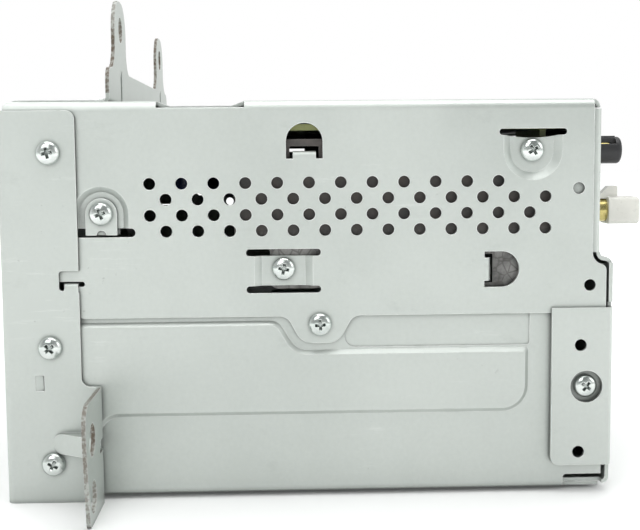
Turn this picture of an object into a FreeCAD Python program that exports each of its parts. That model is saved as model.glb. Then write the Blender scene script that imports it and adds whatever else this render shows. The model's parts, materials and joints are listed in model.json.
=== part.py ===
"""Car CD player, double height, the plain metal unit that sits behind a dashboard trim.

Modelled in millimetres. While it is built, x runs back from the front face, y across
the unit from its middle, and z up from the surface that it stands on. The finished
pieces are then moved along x, so that the origin is the middle of the footprint.
The photographed side is the one at negative y.
"""

import FreeCAD, Part

import math
import os

V = FreeCAD.Vector

# Chassis sheet and overall sizes
SHEET = 1.0                 # thickness of every folded sheet
CHASSIS_HALF_WIDTH = 89.0   # outside of the upper chassis sides
CHASSIS_TOP = 101.7         # top face of the upper chassis
CHASSIS_SIDE_FOOT = 47.2    # lower edge of its sides
CHASSIS_REAR = 149.9        # rear edge of its sides, above the step
STEP_OUT = 3.6              # how far the unit steps back below the rear joggle
STEP_Z = 61.4               # height of that joggle
BEND = 1.8                  # outer radius of a fold
PLAY = 0.8                  # gap behind the front plate, which clears its folds
CASE_BOTTOM = 1.0           # underside of the lower case
CASE_SIDE_TOP = 52.0        # the lower case reaches up inside the chassis
CASE_REAR = 153.1
BUMP = 1.0                  # how far the lower case is pressed out

# Front panel
FLANGE_DEPTH = 19.6         # side flanges, back from the front face
FLANGE_TOP = 99.5
BASE_FLANGE_DEPTH = 18.2
TOP_FLANGE_HALF = 74.4
UPRIGHT_X = 25.1            # front face of the upright flange on top
UPRIGHT_TOP = 111.5
UPPER_EAR_TOP = 130.8
UPPER_EAR_IN = 40.3         # inner edge of an upper ear, from the middle
UPPER_EAR_WIDTH = 21.8
UPPER_HOLE_Y = 51.0
UPPER_HOLE_Z = 123.0
UPPER_HOLE_R = 3.5
LOWER_EAR_X = 23.6          # front face of a lower ear
LOWER_EAR_REACH = 24.7      # how far it stands out from the flange
LOWER_EAR_HEIGHT = 30.0
LOWER_HOLE_OUT = 16.0       # hole centres, out from the flange
LOWER_HOLE_R = 4.0
LOWER_HOLE_Z = 6.4
LOWER_HOLE_PITCH = 14.0
BEAD_HEIGHT = 5.2           # gusset beads across the folds
LOWER_BEAD_Z = 15.6

# Disc and deck
DISC_X = 84.0               # middle of a loaded disc
DISC_Z = 31.0               # mid-plane of a disc on its way in
DISC_T = 1.2
SLOT_WIDTH = 123.0
SLOT_HEIGHT = 5.2
DECK_FRONT = 11.0
DECK_REAR = 149.0
DECK_HALF = 76.0
DECK_FLOOR = 12.0           # underside of the deck floor
DECK_TOP = 41.5             # underside of the deck cover
DAMPER_X = (26.0, 134.0)
DAMPER_Y = 64.0

# Loading drive
GEAR_MODULE = 0.5
PINION_TEETH = 10
WHEEL_TEETH = 36
SMALL_TEETH = 12
IDLER_TEETH = 18
ROLLER_TEETH = 16
ROLLER_X = 18.0
ROLLER_R = 5.2
ROLLER_SHAFT_R = 2.0
ARM_PIVOT = (56.0, 18.0)
ARM_SWING = 5.0             # degrees that the roller arm drops
SLIDER_TRAVEL = 10.0

# Turntable and clamp
SEAT_Z = 27.4               # a disc rests here when it plays
SEAT_R = 15.0
CLAMP_PIVOT = (140.0, 35.5)
CLAMP_SWING = 3.79          # degrees that the clamp arm drops
CLAMP_PIN_X = 120.0
CLAMPER_Z = 32.3            # underside of the clamper while it hangs
CLAMPER_R = 13.0
ARM_Z = 37.3                # underside of the clamp arm

# Pickup
LENS_START = 24.0           # distance of the lens from the disc's middle, innermost
PICKUP_TRAVEL = 34.0
ROD_R = 1.5
ROD_Z = 18.0
ROD_SPREAD = 24.0           # each guide rod, before and behind the disc's middle
LEAD_X = 115.0
LEAD_Z = 21.3
LEAD_R = 1.6
LEAD_RIDGE = 0.7
LEAD_PITCH = 3.0
PLATE_Z = 14.0              # underside of the traverse plate
PLATE_T = 1.2
FIT = 0.05                  # radial clearance of a running fit

# Boards
BOARD_T = 1.6
MAIN_BOARD_Z = 94.2         # underside
DECK_BOARD_Z = 8.4

# Fasteners: M3 pan head with a cross recess
SCREW_HEAD_R = 2.95
SCREW_HEAD_H = 2.1
SCREW_R = 1.45
SCREW_LENGTH = 4.0
SCREW_HOLE_R = 1.75

# Vent holes in the chassis sides
VENT_R = 1.5
VENT_PITCH = 8.0
VENT_ROW = 4.0
VENT_X = 37.6
VENT_Z = 81.1
VENT_COUNT = 13

# Rear sockets
SOCKET_Y = -64.0            # both coaxial sockets
BLACK_SOCKET_Z = 88.6
BLACK_SOCKET_R = 3.65
BLACK_SOCKET_END = 163.7
WHITE_SOCKET_Z = 72.2
WHITE_SOCKET_END = 168.4

SIDE_IN = CHASSIS_HALF_WIDTH - SHEET
FLANGE_OUT = CHASSIS_HALF_WIDTH + SHEET
CASE_OUT = SIDE_IN
CASE_IN = CASE_OUT - SHEET
CASE_FLOOR = CASE_BOTTOM + SHEET
REAR_UPPER = CHASSIS_REAR + 2.2
REAR_LOWER = REAR_UPPER + STEP_OUT - 0.5
X_MIDDLE = WHITE_SOCKET_END / 2.0


def box(x0, x1, y0, y1, z0, z1):
    """Block between two corners."""
    return Part.makeBox(x1 - x0, y1 - y0, z1 - z0, V(x0, y0, z0))


def rod(axis, at, radius, start, end):
    """Round bar along one axis, at the two other coordinates."""
    a, b = at
    if axis == "x":
        return Part.makeCylinder(radius, end - start, V(start, a, b), V(1, 0, 0))
    if axis == "y":
        return Part.makeCylinder(radius, end - start, V(a, start, b), V(0, 1, 0))
    return Part.makeCylinder(radius, end - start, V(a, b, start), V(0, 0, 1))


def tube(axis, at, outer, inner, start, end):
    """Round bar with a bore."""
    return rod(axis, at, outer, start, end).cut(rod(axis, at, inner, start - 1, end + 1))


def lifter(plane, level):
    """Function that puts a drawing point (u, v) on a plane xy, xz or yz."""
    if plane == "xy":
        return lambda u, v: V(u, v, level)
    if plane == "xz":
        return lambda u, v: V(u, level, v)
    return lambda u, v: V(level, u, v)


def outline(points, plane, level=0.0):
    """Closed wire through (u, v) or (u, v, radius), where the radius rounds a corner."""
    lift = lifter(plane, level)
    count = len(points)
    starts, ends, mids = [], [], []
    for i, point in enumerate(points):
        here = V(point[0], point[1], 0)
        radius = point[2] if len(point) > 2 else 0.0
        before = points[i - 1]
        after = points[(i + 1) % count]
        back = (V(before[0], before[1], 0) - here).normalize()
        ahead = (V(after[0], after[1], 0) - here).normalize()
        if radius <= 0:
            starts.append(here)
            ends.append(here)
            mids.append(None)
            continue
        half = back.getAngle(ahead) / 2.0
        reach = radius / math.tan(half)
        starts.append(here + back * reach)
        ends.append(here + ahead * reach)
        inward = (back + ahead).normalize()
        mids.append(here + inward * (radius / math.sin(half) - radius))
    edges = []
    for i in range(count):
        first, last, mid = starts[i], ends[i], mids[i]
        if mid is not None:
            edges.append(Part.Arc(lift(first.x, first.y), lift(mid.x, mid.y),
                                  lift(last.x, last.y)).toShape())
        after = starts[(i + 1) % count]
        if (after - last).Length > 1e-6:
            edges.append(Part.LineSegment(lift(last.x, last.y), lift(after.x, after.y)).toShape())
    return Part.Wire(edges)


def prism(points, plane, start, end):
    """Outline with rounded corners, extruded square to its plane."""
    face = Part.Face(outline(points, plane, start))
    depth = end - start
    if plane == "xy":
        return face.extrude(V(0, 0, depth))
    if plane == "xz":
        return face.extrude(V(0, depth, 0))
    return face.extrude(V(depth, 0, 0))


def taper(points, plane, start, end, inset):
    """Boss whose walls lean in: its far outline is drawn in by the inset."""
    wire = outline(points, plane, start)
    depth = end - start
    small = wire.makeOffset2D(-inset)
    shift = {"xy": V(0, 0, depth), "xz": V(0, depth, 0), "yz": V(depth, 0, 0)}[plane]
    small.translate(shift)
    return Part.makeLoft([wire, small], True, True)


def grown(points, plane, level, amount):
    """Outline moved outwards by an amount."""
    return outline(points, plane, level).makeOffset2D(amount)


def drawn_in(points, amount):
    """Same outline with every side moved inwards and the same corners, for a pressed wall."""
    count = len(points)
    turn = sum(points[i - 1][0] * points[i][1] - points[i][0] * points[i - 1][1] for i in range(count))
    way = math.copysign(1.0, turn)
    moved_in = []
    for i, point in enumerate(points):
        before, after = points[i - 1], points[(i + 1) % count]
        first = V(point[0] - before[0], point[1] - before[1], 0).normalize()
        second = V(after[0] - point[0], after[1] - point[1], 0).normalize()
        inward = [V(-d.y * way, d.x * way, 0) for d in (first, second)]
        step = (inward[0] + inward[1]) * (amount / (1.0 + inward[0].dot(inward[1])))
        corner = (point[0] + step.x, point[1] + step.y)
        if len(point) > 2:
            hollow = first.cross(second).z * way < 0
            radius = point[2] + amount if hollow else max(point[2] - amount, 0.3)
            corner += (radius,)
        moved_in.append(corner)
    return moved_in


def slot(plane, u0, u1, v0, v1, start, end):
    """Long hole with round ends, along whichever way it is longer."""
    radius = min(u1 - u0, v1 - v0) / 2.0 * 0.999
    corners = [(u0, v0, radius), (u1, v0, radius), (u1, v1, radius), (u0, v1, radius)]
    return prism(corners, plane, start, end)


def arch(middle, half, foot, top):
    """Outline points of a round-headed opening in the xz plane."""
    return [(middle - half, foot), (middle + half, foot),
            (middle + half, top, half * 0.999), (middle - half, top, half * 0.999)]


def fuse(first, *others):
    """One solid from pieces that touch or overlap."""
    result = first
    for other in others:
        result = result.fuse(other)
    return result.removeSplitter()


def mirror(shape):
    """The same shape on the other side of the unit."""
    return shape.mirror(V(0, 0, 0), V(0, 1, 0))


def group(shapes):
    """Separate solids kept in one node."""
    return Part.makeCompound(shapes)


def turned(shape, centre, axis, degrees):
    """Copy turned about an axis."""
    copy = shape.copy()
    copy.rotate(centre, axis, degrees)
    return copy


def moved(shape, x, y, z):
    """Copy moved by a distance."""
    copy = shape.copy()
    copy.translate(V(x, y, z))
    return copy


# Places of the side screws (x, z) and the y that each head seats on
FLANGE_SCREWS = [(12.9, 89.0), (12.0, 40.1), (12.0, 10.2)]
TAB_SCREW = (25.4, 73.7)
BRIDGE_SCREW = (71.0, 59.3)
CUP_SCREW = (134.3, 88.8)
TONGUE_SCREW = (80.1, 45.1)
REAR_SCREW = (148.5, 28.1)
POCKET_DEPTH = 1.2          # dimple that takes the bracket's tab
CUP_DEPTH = 1.5             # the two dimples that reach the heat sink
TAB_HALF = 3.95             # bracket tab, half its width
BRIDGE_HALF = 5.5


def screw(length):
    """Pan-head screw, its seat at z = 0 and its shank going down."""
    head = Part.makeCylinder(SCREW_HEAD_R, SCREW_HEAD_H)
    dome_r = (SCREW_HEAD_R ** 2 + 1.3 ** 2) / (2 * 1.3)
    dome = Part.makeSphere(dome_r, V(0, 0, SCREW_HEAD_H - dome_r))
    head = head.common(dome)
    arm = box(-1.75, 1.75, -0.42, 0.42, SCREW_HEAD_H - 1.2, SCREW_HEAD_H + 1)
    cross = fuse(arm, turned(arm, V(0, 0, 0), V(0, 0, 1), 90),
                 Part.makeCone(0.3, 1.05, 1.3, V(0, 0, SCREW_HEAD_H - 1.3)))
    shank = Part.makeCylinder(SCREW_R, length, V(0, 0, -length))
    tip = Part.makeCone(SCREW_R * 0.55, SCREW_R, 0.8, V(0, 0, -length - 0.8))
    return fuse(head.cut(cross), shank, tip)


def side_screw(x, z, seat, spin, length=SCREW_LENGTH):
    """Screw whose head faces the photographed side."""
    piece = turned(screw(length), V(0, 0, 0), V(0, 0, 1), spin)
    piece = turned(piece, V(0, 0, 0), V(1, 0, 0), 90)
    return moved(piece, x, -seat, z)


def hole_y(x, z, radius, y0, y1):
    """Round cutter along y."""
    return rod("y", (x, z), radius, y0, y1)


# Sheet-metal shell

def chassis_side_outline():
    """Side view of the upper chassis."""
    rear = CHASSIS_REAR
    foot = CHASSIS_SIDE_FOOT
    tongue_x, tongue_z = TONGUE_SCREW
    tongue_foot = tongue_z - 4.9
    return [
        (PLAY + SHEET, CHASSIS_TOP, 1.6),
        (PLAY + SHEET, 56.7),
        (20.9, 56.7, 0.6),
        (20.9, 55.4, 0.6),
        (18.8, 55.4),
        (18.8, foot, 2.0),
        (tongue_x - 8.4, foot, 3.2),
        (tongue_x - 4.7, tongue_foot, 4.6),
        (tongue_x + 4.7, tongue_foot, 4.6),
        (tongue_x + 8.4, foot, 3.2),
        (rear + STEP_OUT, foot, 1.0),
        (rear + STEP_OUT, STEP_Z - 1.8, 1.5),
        (rear, STEP_Z - 1.8, 3.0),
        (rear, CHASSIS_TOP),
    ]


def press_in(shell, points, depth, slope):
    """Press part of the photographed side inwards, keeping the sheet's thickness."""
    outer_y = -CHASSIS_HALF_WIDTH
    inner_y = -SIDE_IN
    lump = Part.makeLoft([grown(points, "xz", inner_y, 0.5),
                          grown(points, "xz", inner_y + depth, 0.5 - slope)], True, True)
    skin = Part.makeLoft([grown(points, "xz", outer_y, 0.5), grown(points, "xz", inner_y, 0.5)], True, True)
    pocket = Part.makeLoft([outline(points, "xz", outer_y - 0.01),
                            grown(points, "xz", outer_y + depth, -slope)], True, True)
    return shell.fuse(lump).fuse(skin).cut(pocket)


def chassis_side(shell):
    """Everything pressed or cut into the photographed side."""
    out = -CHASSIS_HALF_WIDTH - 1
    deep = -SIDE_IN + 4
    tab_x, tab_z = TAB_SCREW
    cup_x, cup_z = CUP_SCREW
    bridge_x, bridge_z = BRIDGE_SCREW

    # pressed dimple for the bracket tab, open at its foot
    dimple = arch(tab_x, 6.9, tab_z - 5.4, tab_z + 6.9)
    shell = press_in(shell, dimple, POCKET_DEPTH, 1.5)
    shell = shell.cut(slot("xz", tab_x - 8.5, tab_x + 8.5, 67.8, 70.0, out, deep))
    shell = shell.cut(hole_y(tab_x, tab_z, SCREW_HOLE_R, out, deep))

    # pressed cup that reaches the heat sink, open at its head
    cup = [(cup_x - 7.5, cup_z + 5.4), (cup_x - 7.5, cup_z - 7.6, 7.45),
           (cup_x + 7.5, cup_z - 7.6, 7.45), (cup_x + 7.5, cup_z + 5.4)]
    shell = press_in(shell, cup, CUP_DEPTH, 2.0)
    shell = shell.cut(slot("xz", cup_x - 8.6, cup_x + 8.6, 92.6, 94.2, out, deep))
    sag = hole_y(cup_x, cup_z + 3.1 + 33.0, 33.0, out, deep)
    shell = shell.cut(sag.common(box(cup_x - 8, cup_x + 8, out, deep, cup_z, 93.5)))
    shell = shell.cut(hole_y(cup_x, cup_z, SCREW_HOLE_R, out, deep))

    # bridge strip between two slots, pressed in to the heat sink
    strip_top, strip_foot = bridge_z + 4.2, bridge_z - 5.1
    rim = BRIDGE_HALF + 1.9
    y_out, y_in = -CHASSIS_HALF_WIDTH, -SIDE_IN
    lump = prism([(bridge_x - rim - 0.5, y_in - 0.5), (bridge_x - BRIDGE_HALF - 0.5, y_in + CUP_DEPTH),
                  (bridge_x + BRIDGE_HALF + 0.5, y_in + CUP_DEPTH), (bridge_x + rim + 0.5, y_in - 0.5)],
                 "xy", strip_foot, strip_top)
    pocket = prism([(bridge_x - rim, y_out - 0.1), (bridge_x - rim, y_out),
                    (bridge_x - BRIDGE_HALF, y_out + CUP_DEPTH),
                    (bridge_x + BRIDGE_HALF, y_out + CUP_DEPTH), (bridge_x + rim, y_out),
                    (bridge_x + rim, y_out - 0.1)], "xy", strip_foot, strip_top)
    shell = shell.fuse(lump).cut(pocket)
    for z0, z1 in ((62.6, 64.4), (53.2, 55.0)):
        shell = shell.cut(slot("xz", bridge_x - 9.45, bridge_x + 9.45, z0, z1, out, deep))
    shell = shell.cut(hole_y(bridge_x, bridge_z, SCREW_HOLE_R, out, deep))

    # lanced tab under a round-headed opening
    window = prism(arch(76.5, 4.6, 87.1, 96.0), "xz", out, deep)
    window = window.cut(box(73.6, 79.4, out - 1, deep + 1, 86.0, 89.0))
    shell = shell.cut(window)
    lance = prism([(y_out, 87.0), (y_out, 89.0, 1.3), (y_out + 7.5, 89.0), (y_out + 7.5, 88.0),
                   (y_out + SHEET, 88.0, 0.3), (y_out + SHEET, 87.0)], "yz", 73.6, 79.4)
    shell = shell.cut(box(73.6, 79.4, out, deep, 87.0, 89.0)).fuse(lance)

    # the same opening on its side
    side_window = prism([(122.1, 54.1), (131.0, 54.1, 4.5), (131.0, 63.2, 4.5), (122.1, 63.2)],
                        "xz", out, deep)
    side_window = side_window.cut(box(121.0, 123.7, out - 1, deep + 1, 55.7, 61.6))
    shell = shell.cut(side_window)
    lance = prism([(121.7, y_out), (123.7, y_out, 1.3), (123.7, y_out + 7.5), (122.7, y_out + 7.5),
                   (122.7, y_out + SHEET, 0.3), (121.7, y_out + SHEET)], "xy", 55.7, 61.6)
    shell = shell.cut(box(121.7, 123.7, out, deep, 55.7, 61.6)).fuse(lance)

    # plain holes
    for x, z in ((146.1, 79.1), (149.3, 54.3)):
        shell = shell.cut(hole_y(x, z, VENT_R, out, deep))
    for x, z in (FLANGE_SCREWS[0], TONGUE_SCREW):
        shell = shell.cut(hole_y(x, z, SCREW_HOLE_R, out, deep))

    # vent field, whose last hole in the top row makes way for the pressed cup
    holes = []
    for row in range(4):
        for i in range(VENT_COUNT):
            if row == 0 and i == VENT_COUNT - 1:
                continue
            x = VENT_X + VENT_PITCH * i + (VENT_PITCH / 2.0 if row % 2 else 0.0)
            holes.append(hole_y(x, VENT_Z - VENT_ROW * row, VENT_R, out, deep))
    return shell.cut(group(holes))


CHANNEL = (39.6, 61.6)      # pressed channel across the top
CHANNEL_SLOPE = 3.3
CHANNEL_DEPTH = 1.2


def upper_chassis():
    """Top and both sides in one folded sheet."""
    half = CHASSIS_HALF_WIDTH
    top = CHASSIS_TOP
    foot = CHASSIS_SIDE_FOOT - 12
    front = PLAY + SHEET
    rear = CHASSIS_REAR + STEP_OUT
    section = [(-half, foot), (-half, top, 2.4), (half, top, 2.4), (half, foot),
               (half - SHEET, foot), (half - SHEET, top - SHEET, 1.4),
               (-half + SHEET, top - SHEET, 1.4), (-half + SHEET, foot)]
    shell = prism(section, "yz", front, rear)
    shell = shell.common(prism(chassis_side_outline(), "xz", -half - 1, half + 1))

    # channel pressed across the top, with the fold cut away beside it
    x0, x1 = CHANNEL
    low = top - CHANNEL_DEPTH
    in0, in1 = x0 + CHANNEL_SLOPE, x1 - CHANNEL_SLOPE
    under = prism([(x0 - 0.4, top - SHEET), (in0 - 0.4, low - SHEET), (in1 + 0.4, low - SHEET),
                   (x1 + 0.4, top - SHEET)], "xz", -half + 2.6, half - 2.6)
    above = prism([(x0, top), (in0, low), (in1, low), (x1, top), (x1, top + 1), (x0, top + 1)],
                  "xz", -half - 1, half + 1)
    shell = shell.fuse(under).cut(above)
    for y0, y1 in ((-half - 1, -half + 2.6), (half - 2.6, half + 1)):
        shell = shell.cut(box(x0, x1, y0, y1, top - 1.7, top + 1))

    # rear lip rolled down behind the rear panel
    lip_r = REAR_UPPER - CHASSIS_REAR
    lip = tube("y", (CHASSIS_REAR, top - lip_r), lip_r, lip_r - SHEET, -half + 3, half - 3)
    lip = lip.common(box(CHASSIS_REAR - 0.01, REAR_UPPER + 1, -half, half, top - lip_r, top + 1))
    shell = shell.fuse(lip)

    # raised panel that stiffens the top, and a field of vents over the amplifier
    panel = [(70.0, -70.0, 5), (142.0, -70.0, 5), (142.0, 70.0, 5), (70.0, 70.0, 5)]
    raised = taper(panel, "xy", top, top + 0.8, 1.0)
    hollow = Part.makeLoft([grown(panel, "xy", top - SHEET - 0.01, -0.6),
                            grown(panel, "xy", top - SHEET + 0.8, -1.6)], True, True)
    shell = shell.fuse(raised).cut(hollow)
    vents = []
    for row in range(3):
        for i in range(7):
            x = 78.0 + 9.0 * i
            y = -60.0 + 6.0 * row
            vents.append(slot("xy", x, x + 6.0, y, y + 2.0, top - 2, top + 2))
    shell = shell.cut(group(vents))
    for y in (-TOP_SCREW_Y, TOP_SCREW_Y):
        shell = shell.cut(rod("z", (TOP_SCREW_X, y), SCREW_HOLE_R, top - 2, top + 2))

    # the photographed side, then the same on the other
    shell = chassis_side(shell)
    shell = mirror(chassis_side(mirror(shell)))
    return shell.removeSplitter()


TOP_SCREW_X = 18.7
TOP_SCREW_Y = 40.0


def case_bump_outline():
    """Raised zone pressed out of a lower-case side."""
    return [
        (2.0, 46.3),
        (69.5, 46.3, 4.0),
        (74.2, 38.6, 4.5),
        (134.0, 38.6, 1.0),
        (134.0, 21.4, 7.0),
        (23.8, 21.4, 5.0),
        (23.8, 3.6),
        (2.0, 3.6),
    ]


def lower_case():
    """Pressed tray that closes the bottom and the lower sides."""
    out, inn = CASE_OUT, CASE_IN
    floor = CASE_FLOOR
    front = PLAY + SHEET
    section = [(-out, CASE_SIDE_TOP), (-out, CASE_BOTTOM, 2.0), (out, CASE_BOTTOM, 2.0),
               (out, CASE_SIDE_TOP),
               (inn, CASE_SIDE_TOP), (inn, floor, 1.0), (-inn, floor, 1.0), (-inn, CASE_SIDE_TOP)]
    tray = prism(section, "yz", front, CASE_REAR)
    for mirrored in (False, True):
        tray = mirror(tray) if mirrored else tray
        bump = case_bump_outline()
        raised = Part.makeLoft([outline(bump, "xz", -out + 0.2),
                                outline(drawn_in(bump, 1.3), "xz", -out - BUMP)], True, True)
        hollow = Part.makeLoft([outline(drawn_in(bump, 0.4), "xz", -inn + 0.01),
                                outline(drawn_in(bump, 1.8), "xz", -inn - BUMP)], True, True)
        tray = tray.fuse(raised).cut(hollow)
        # shallow panel behind the tongue, and the screw holes
        recess = [(86.4, 39.0, 2.8), (134.0, 39.0, 0.8), (134.0, CASE_SIDE_TOP + 1),
                  (86.4, CASE_SIDE_TOP + 1)]
        tray = tray.cut(prism(recess, "xz", -out - 0.1, -out + 0.35))
        for x, z in (FLANGE_SCREWS[1], FLANGE_SCREWS[2], TONGUE_SCREW, REAR_SCREW):
            tray = tray.cut(hole_y(x, z, SCREW_HOLE_R, -out - 3, -out + 3))
        for x, z in ((146.9, 38.9), (146.6, 11.0)):
            tray = tray.cut(hole_y(x, z, 2.5, -out - 3, -out + 3))
        # lower rear corner cut away over the rear panel's foot
        tray = tray.cut(prism([(143.2, -1.0), (143.2, 4.6, 0.8), (CASE_REAR + 1, 4.6),
                               (CASE_REAR + 1, -1.0)],
                              "xz", -out - 3, -out + 2.2))
        tray = mirror(tray) if mirrored else tray
    # pads pressed down, which the rear stands on, and ribs pressed up
    for y in (-62.0, 62.0):
        pad = [(112.0, y - 12, 3), (124.0, y - 12, 3), (124.0, y + 12, 3), (112.0, y + 12, 3)]
        tray = tray.fuse(taper(pad, "xy", CASE_BOTTOM, 0.0, 1.0))
        inner = Part.makeLoft([grown(pad, "xy", floor + 0.01, -0.7), grown(pad, "xy", CASE_BOTTOM, -1.7)],
                              True, True)
        tray = tray.cut(inner)
    for y in (-24.0, 24.0):
        rib = [(28.0, y - 3, 2.5), (100.0, y - 3, 2.5), (100.0, y + 3, 2.5), (28.0, y + 3, 2.5)]
        tray = tray.fuse(taper(rib, "xy", floor, floor + 0.8, 0.8))
        tray = tray.cut(taper(rib_inset(rib, 0.5), "xy", CASE_BOTTOM - 0.01, CASE_BOTTOM + 0.8, 0.8))
    return tray.removeSplitter()


def rib_inset(points, amount):
    """Rectangle points drawn in on every side."""
    us = sorted(p[0] for p in points)
    vs = sorted(p[1] for p in points)
    r = max(points[0][2] - amount, 0.3)
    u0, u1, v0, v1 = us[0] + amount, us[-1] - amount, vs[0] + amount, vs[-1] - amount
    return [(u0, v0, r), (u1, v0, r), (u1, v1, r), (u0, v1, r)]


def lower_ear(panel):
    """Outward-bent ear at the foot of a side flange, with its gusset bead."""
    out = FLANGE_OUT
    back = LOWER_EAR_X + SHEET
    reach = out + LOWER_EAR_REACH
    fold = prism([(FLANGE_DEPTH - 1, -out + SHEET), (back, -out + SHEET, BEND), (back, -reach),
                  (LOWER_EAR_X, -reach), (LOWER_EAR_X, -out, BEND - SHEET), (FLANGE_DEPTH - 1, -out)],
                 "xy", 0.0, LOWER_EAR_HEIGHT)
    shape = prism([(-out + 2, 0.0), (-out - 21.4, 0.0, 1.5), (-reach, LOWER_EAR_HEIGHT - 8, 6.0),
                   (-reach, LOWER_EAR_HEIGHT, 5.0), (-out + 2, LOWER_EAR_HEIGHT)],
                  "yz", 0, back + 1)
    fold = fold.common(shape)
    for i in range(2):
        z = LOWER_HOLE_Z + LOWER_HOLE_PITCH * i
        fold = fold.cut(rod("x", (-out - LOWER_HOLE_OUT, z), LOWER_HOLE_R, LOWER_EAR_X - 1, back + 1))
    bead_foot = LOWER_BEAD_Z - BEAD_HEIGHT / 2.0
    bead = prism([(12.1, -out + 0.5), (12.1, -out), (LOWER_EAR_X, -out - 7.0),
                  (LOWER_EAR_X + 0.5, -out - 7.0),
                  (LOWER_EAR_X + 0.5, -out + 0.5)], "xy", bead_foot, bead_foot + BEAD_HEIGHT)
    bead = bead.common(prism([(12.1, bead_foot, 2.3), (LOWER_EAR_X + 1, bead_foot),
                              (LOWER_EAR_X + 1, bead_foot + BEAD_HEIGHT), (12.1, bead_foot + BEAD_HEIGHT,
                                                                           2.3)],
                             "xz", -out - 8, -out + 1))
    dent = prism([(15.2, -out + SHEET + 0.01), (back + 0.01, -out - 5.2),
                  (back + 0.01, -out + SHEET + 0.01)],
                 "xy", bead_foot + SHEET, bead_foot + BEAD_HEIGHT - SHEET)
    return panel.fuse(fold).fuse(bead).cut(dent)


def front_panel():
    """Plain front with side, base and top flanges, and four ears."""
    out = FLANGE_OUT
    top = CHASSIS_TOP + SHEET
    plate = prism([(0.0, -out, BEND), (0.0, out, BEND), (FLANGE_DEPTH, out), (FLANGE_DEPTH, out - SHEET),
                   (SHEET, out - SHEET, BEND - SHEET), (SHEET, -out + SHEET, BEND - SHEET),
                   (FLANGE_DEPTH, -out + SHEET), (FLANGE_DEPTH, -out)], "xy", 0.0, FLANGE_TOP)
    plate = plate.common(prism([(0.0, 0.0), (FLANGE_DEPTH, 0.0), (FLANGE_DEPTH, FLANGE_TOP, 2.2),
                                (0.0, FLANGE_TOP)], "xz", -out - 1, out + 1))
    # sheet that runs under the case, up the front, over the top and up again
    path = [(BASE_FLANGE_DEPTH, 0.0), (0.0, 0.0, BEND), (0.0, top, BEND),
            (UPRIGHT_X, top, BEND - SHEET), (UPRIGHT_X, UPPER_EAR_TOP), (UPRIGHT_X + SHEET, UPPER_EAR_TOP),
            (UPRIGHT_X + SHEET, top - SHEET, BEND), (SHEET, top - SHEET, BEND - SHEET),
            (SHEET, SHEET, BEND - SHEET), (BASE_FLANGE_DEPTH, SHEET)]
    wrap = prism(path, "xz", -TOP_FLANGE_HALF, TOP_FLANGE_HALF)
    panel = plate.fuse(wrap)

    # upper edge of the upright flange, with its two ears
    ear_in, ear_out = UPPER_EAR_IN, UPPER_EAR_IN + UPPER_EAR_WIDTH
    crest = [(-TOP_FLANGE_HALF, top - 3), (-TOP_FLANGE_HALF, UPRIGHT_TOP, 4.0),
             (-ear_out, UPRIGHT_TOP, 7.5), (-ear_out, UPPER_EAR_TOP, 9.0),
             (-ear_in, UPPER_EAR_TOP, 9.0), (-ear_in, UPRIGHT_TOP, 6.5),
             (ear_in, UPRIGHT_TOP, 6.5), (ear_in, UPPER_EAR_TOP, 9.0),
             (ear_out, UPPER_EAR_TOP, 9.0), (ear_out, UPRIGHT_TOP, 7.5),
             (TOP_FLANGE_HALF, UPRIGHT_TOP, 4.0), (TOP_FLANGE_HALF, top - 3)]
    keep = prism(crest, "yz", UPRIGHT_X - 2, UPRIGHT_X + SHEET + 2)
    zone = box(UPRIGHT_X - 2, UPRIGHT_X + SHEET + 2, -out, out, top + 1.0, UPPER_EAR_TOP + 1)
    panel = panel.cut(zone.cut(keep))
    for y in (-UPPER_HOLE_Y, UPPER_HOLE_Y):
        panel = panel.cut(rod("x", (y, UPPER_HOLE_Z), UPPER_HOLE_R, UPRIGHT_X - 1, UPRIGHT_X + SHEET + 1))
        half = BEAD_HEIGHT / 2.0
        bead = prism([(UPRIGHT_X - 2.6, top - 0.5), (UPRIGHT_X - 2.6, top), (UPRIGHT_X, top + 10.0),
                      (UPRIGHT_X + 0.5, top + 10.0), (UPRIGHT_X + 0.5, top - 0.5)], "xz", y - half, y + half)
        dent = prism([(UPRIGHT_X - 1.6, top - SHEET - 0.01), (UPRIGHT_X + SHEET + 0.01, top + 9.2),
                      (UPRIGHT_X + SHEET + 0.01, top - SHEET - 0.01)], "xz", y - half + 1, y + half - 1)
        panel = panel.fuse(bead).cut(dent)
    for y in (-TOP_SCREW_Y, TOP_SCREW_Y):
        panel = panel.cut(rod("z", (TOP_SCREW_X, y), SCREW_HOLE_R, top - 2, top + 2))

    # disc slot, with a pressed rim, and the window for the control panel's connector
    slot_half = SLOT_WIDTH / 2.0 + 3.5
    slot_rise = SLOT_HEIGHT / 2.0 + 1.6
    panel = panel.cut(prism([(-slot_half, DISC_Z - slot_rise, 3), (slot_half, DISC_Z - slot_rise, 3),
                             (slot_half, DISC_Z + slot_rise, 3), (-slot_half, DISC_Z + slot_rise, 3)],
                            "yz", -1, SHEET + 1))
    panel = panel.cut(box(-1, SHEET + 1, *PANEL_SOCKET_Y, *PANEL_SOCKET_Z))
    for y in (-78.0, 78.0):
        for z in (14.0, 88.0):
            panel = panel.cut(rod("x", (y, z), TRIM_HOLE_R, -1, SHEET + 1))

    for mirrored in (False, True):
        panel = mirror(panel) if mirrored else panel
        panel = front_flange(panel)
        panel = lower_ear(panel)
        panel = mirror(panel) if mirrored else panel
    return panel.removeSplitter()


PANEL_SOCKET_Y = (-21.0, 21.0)
PANEL_SOCKET_Z = (82.5, 91.5)
TRIM_HOLE_R = 1.5


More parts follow.
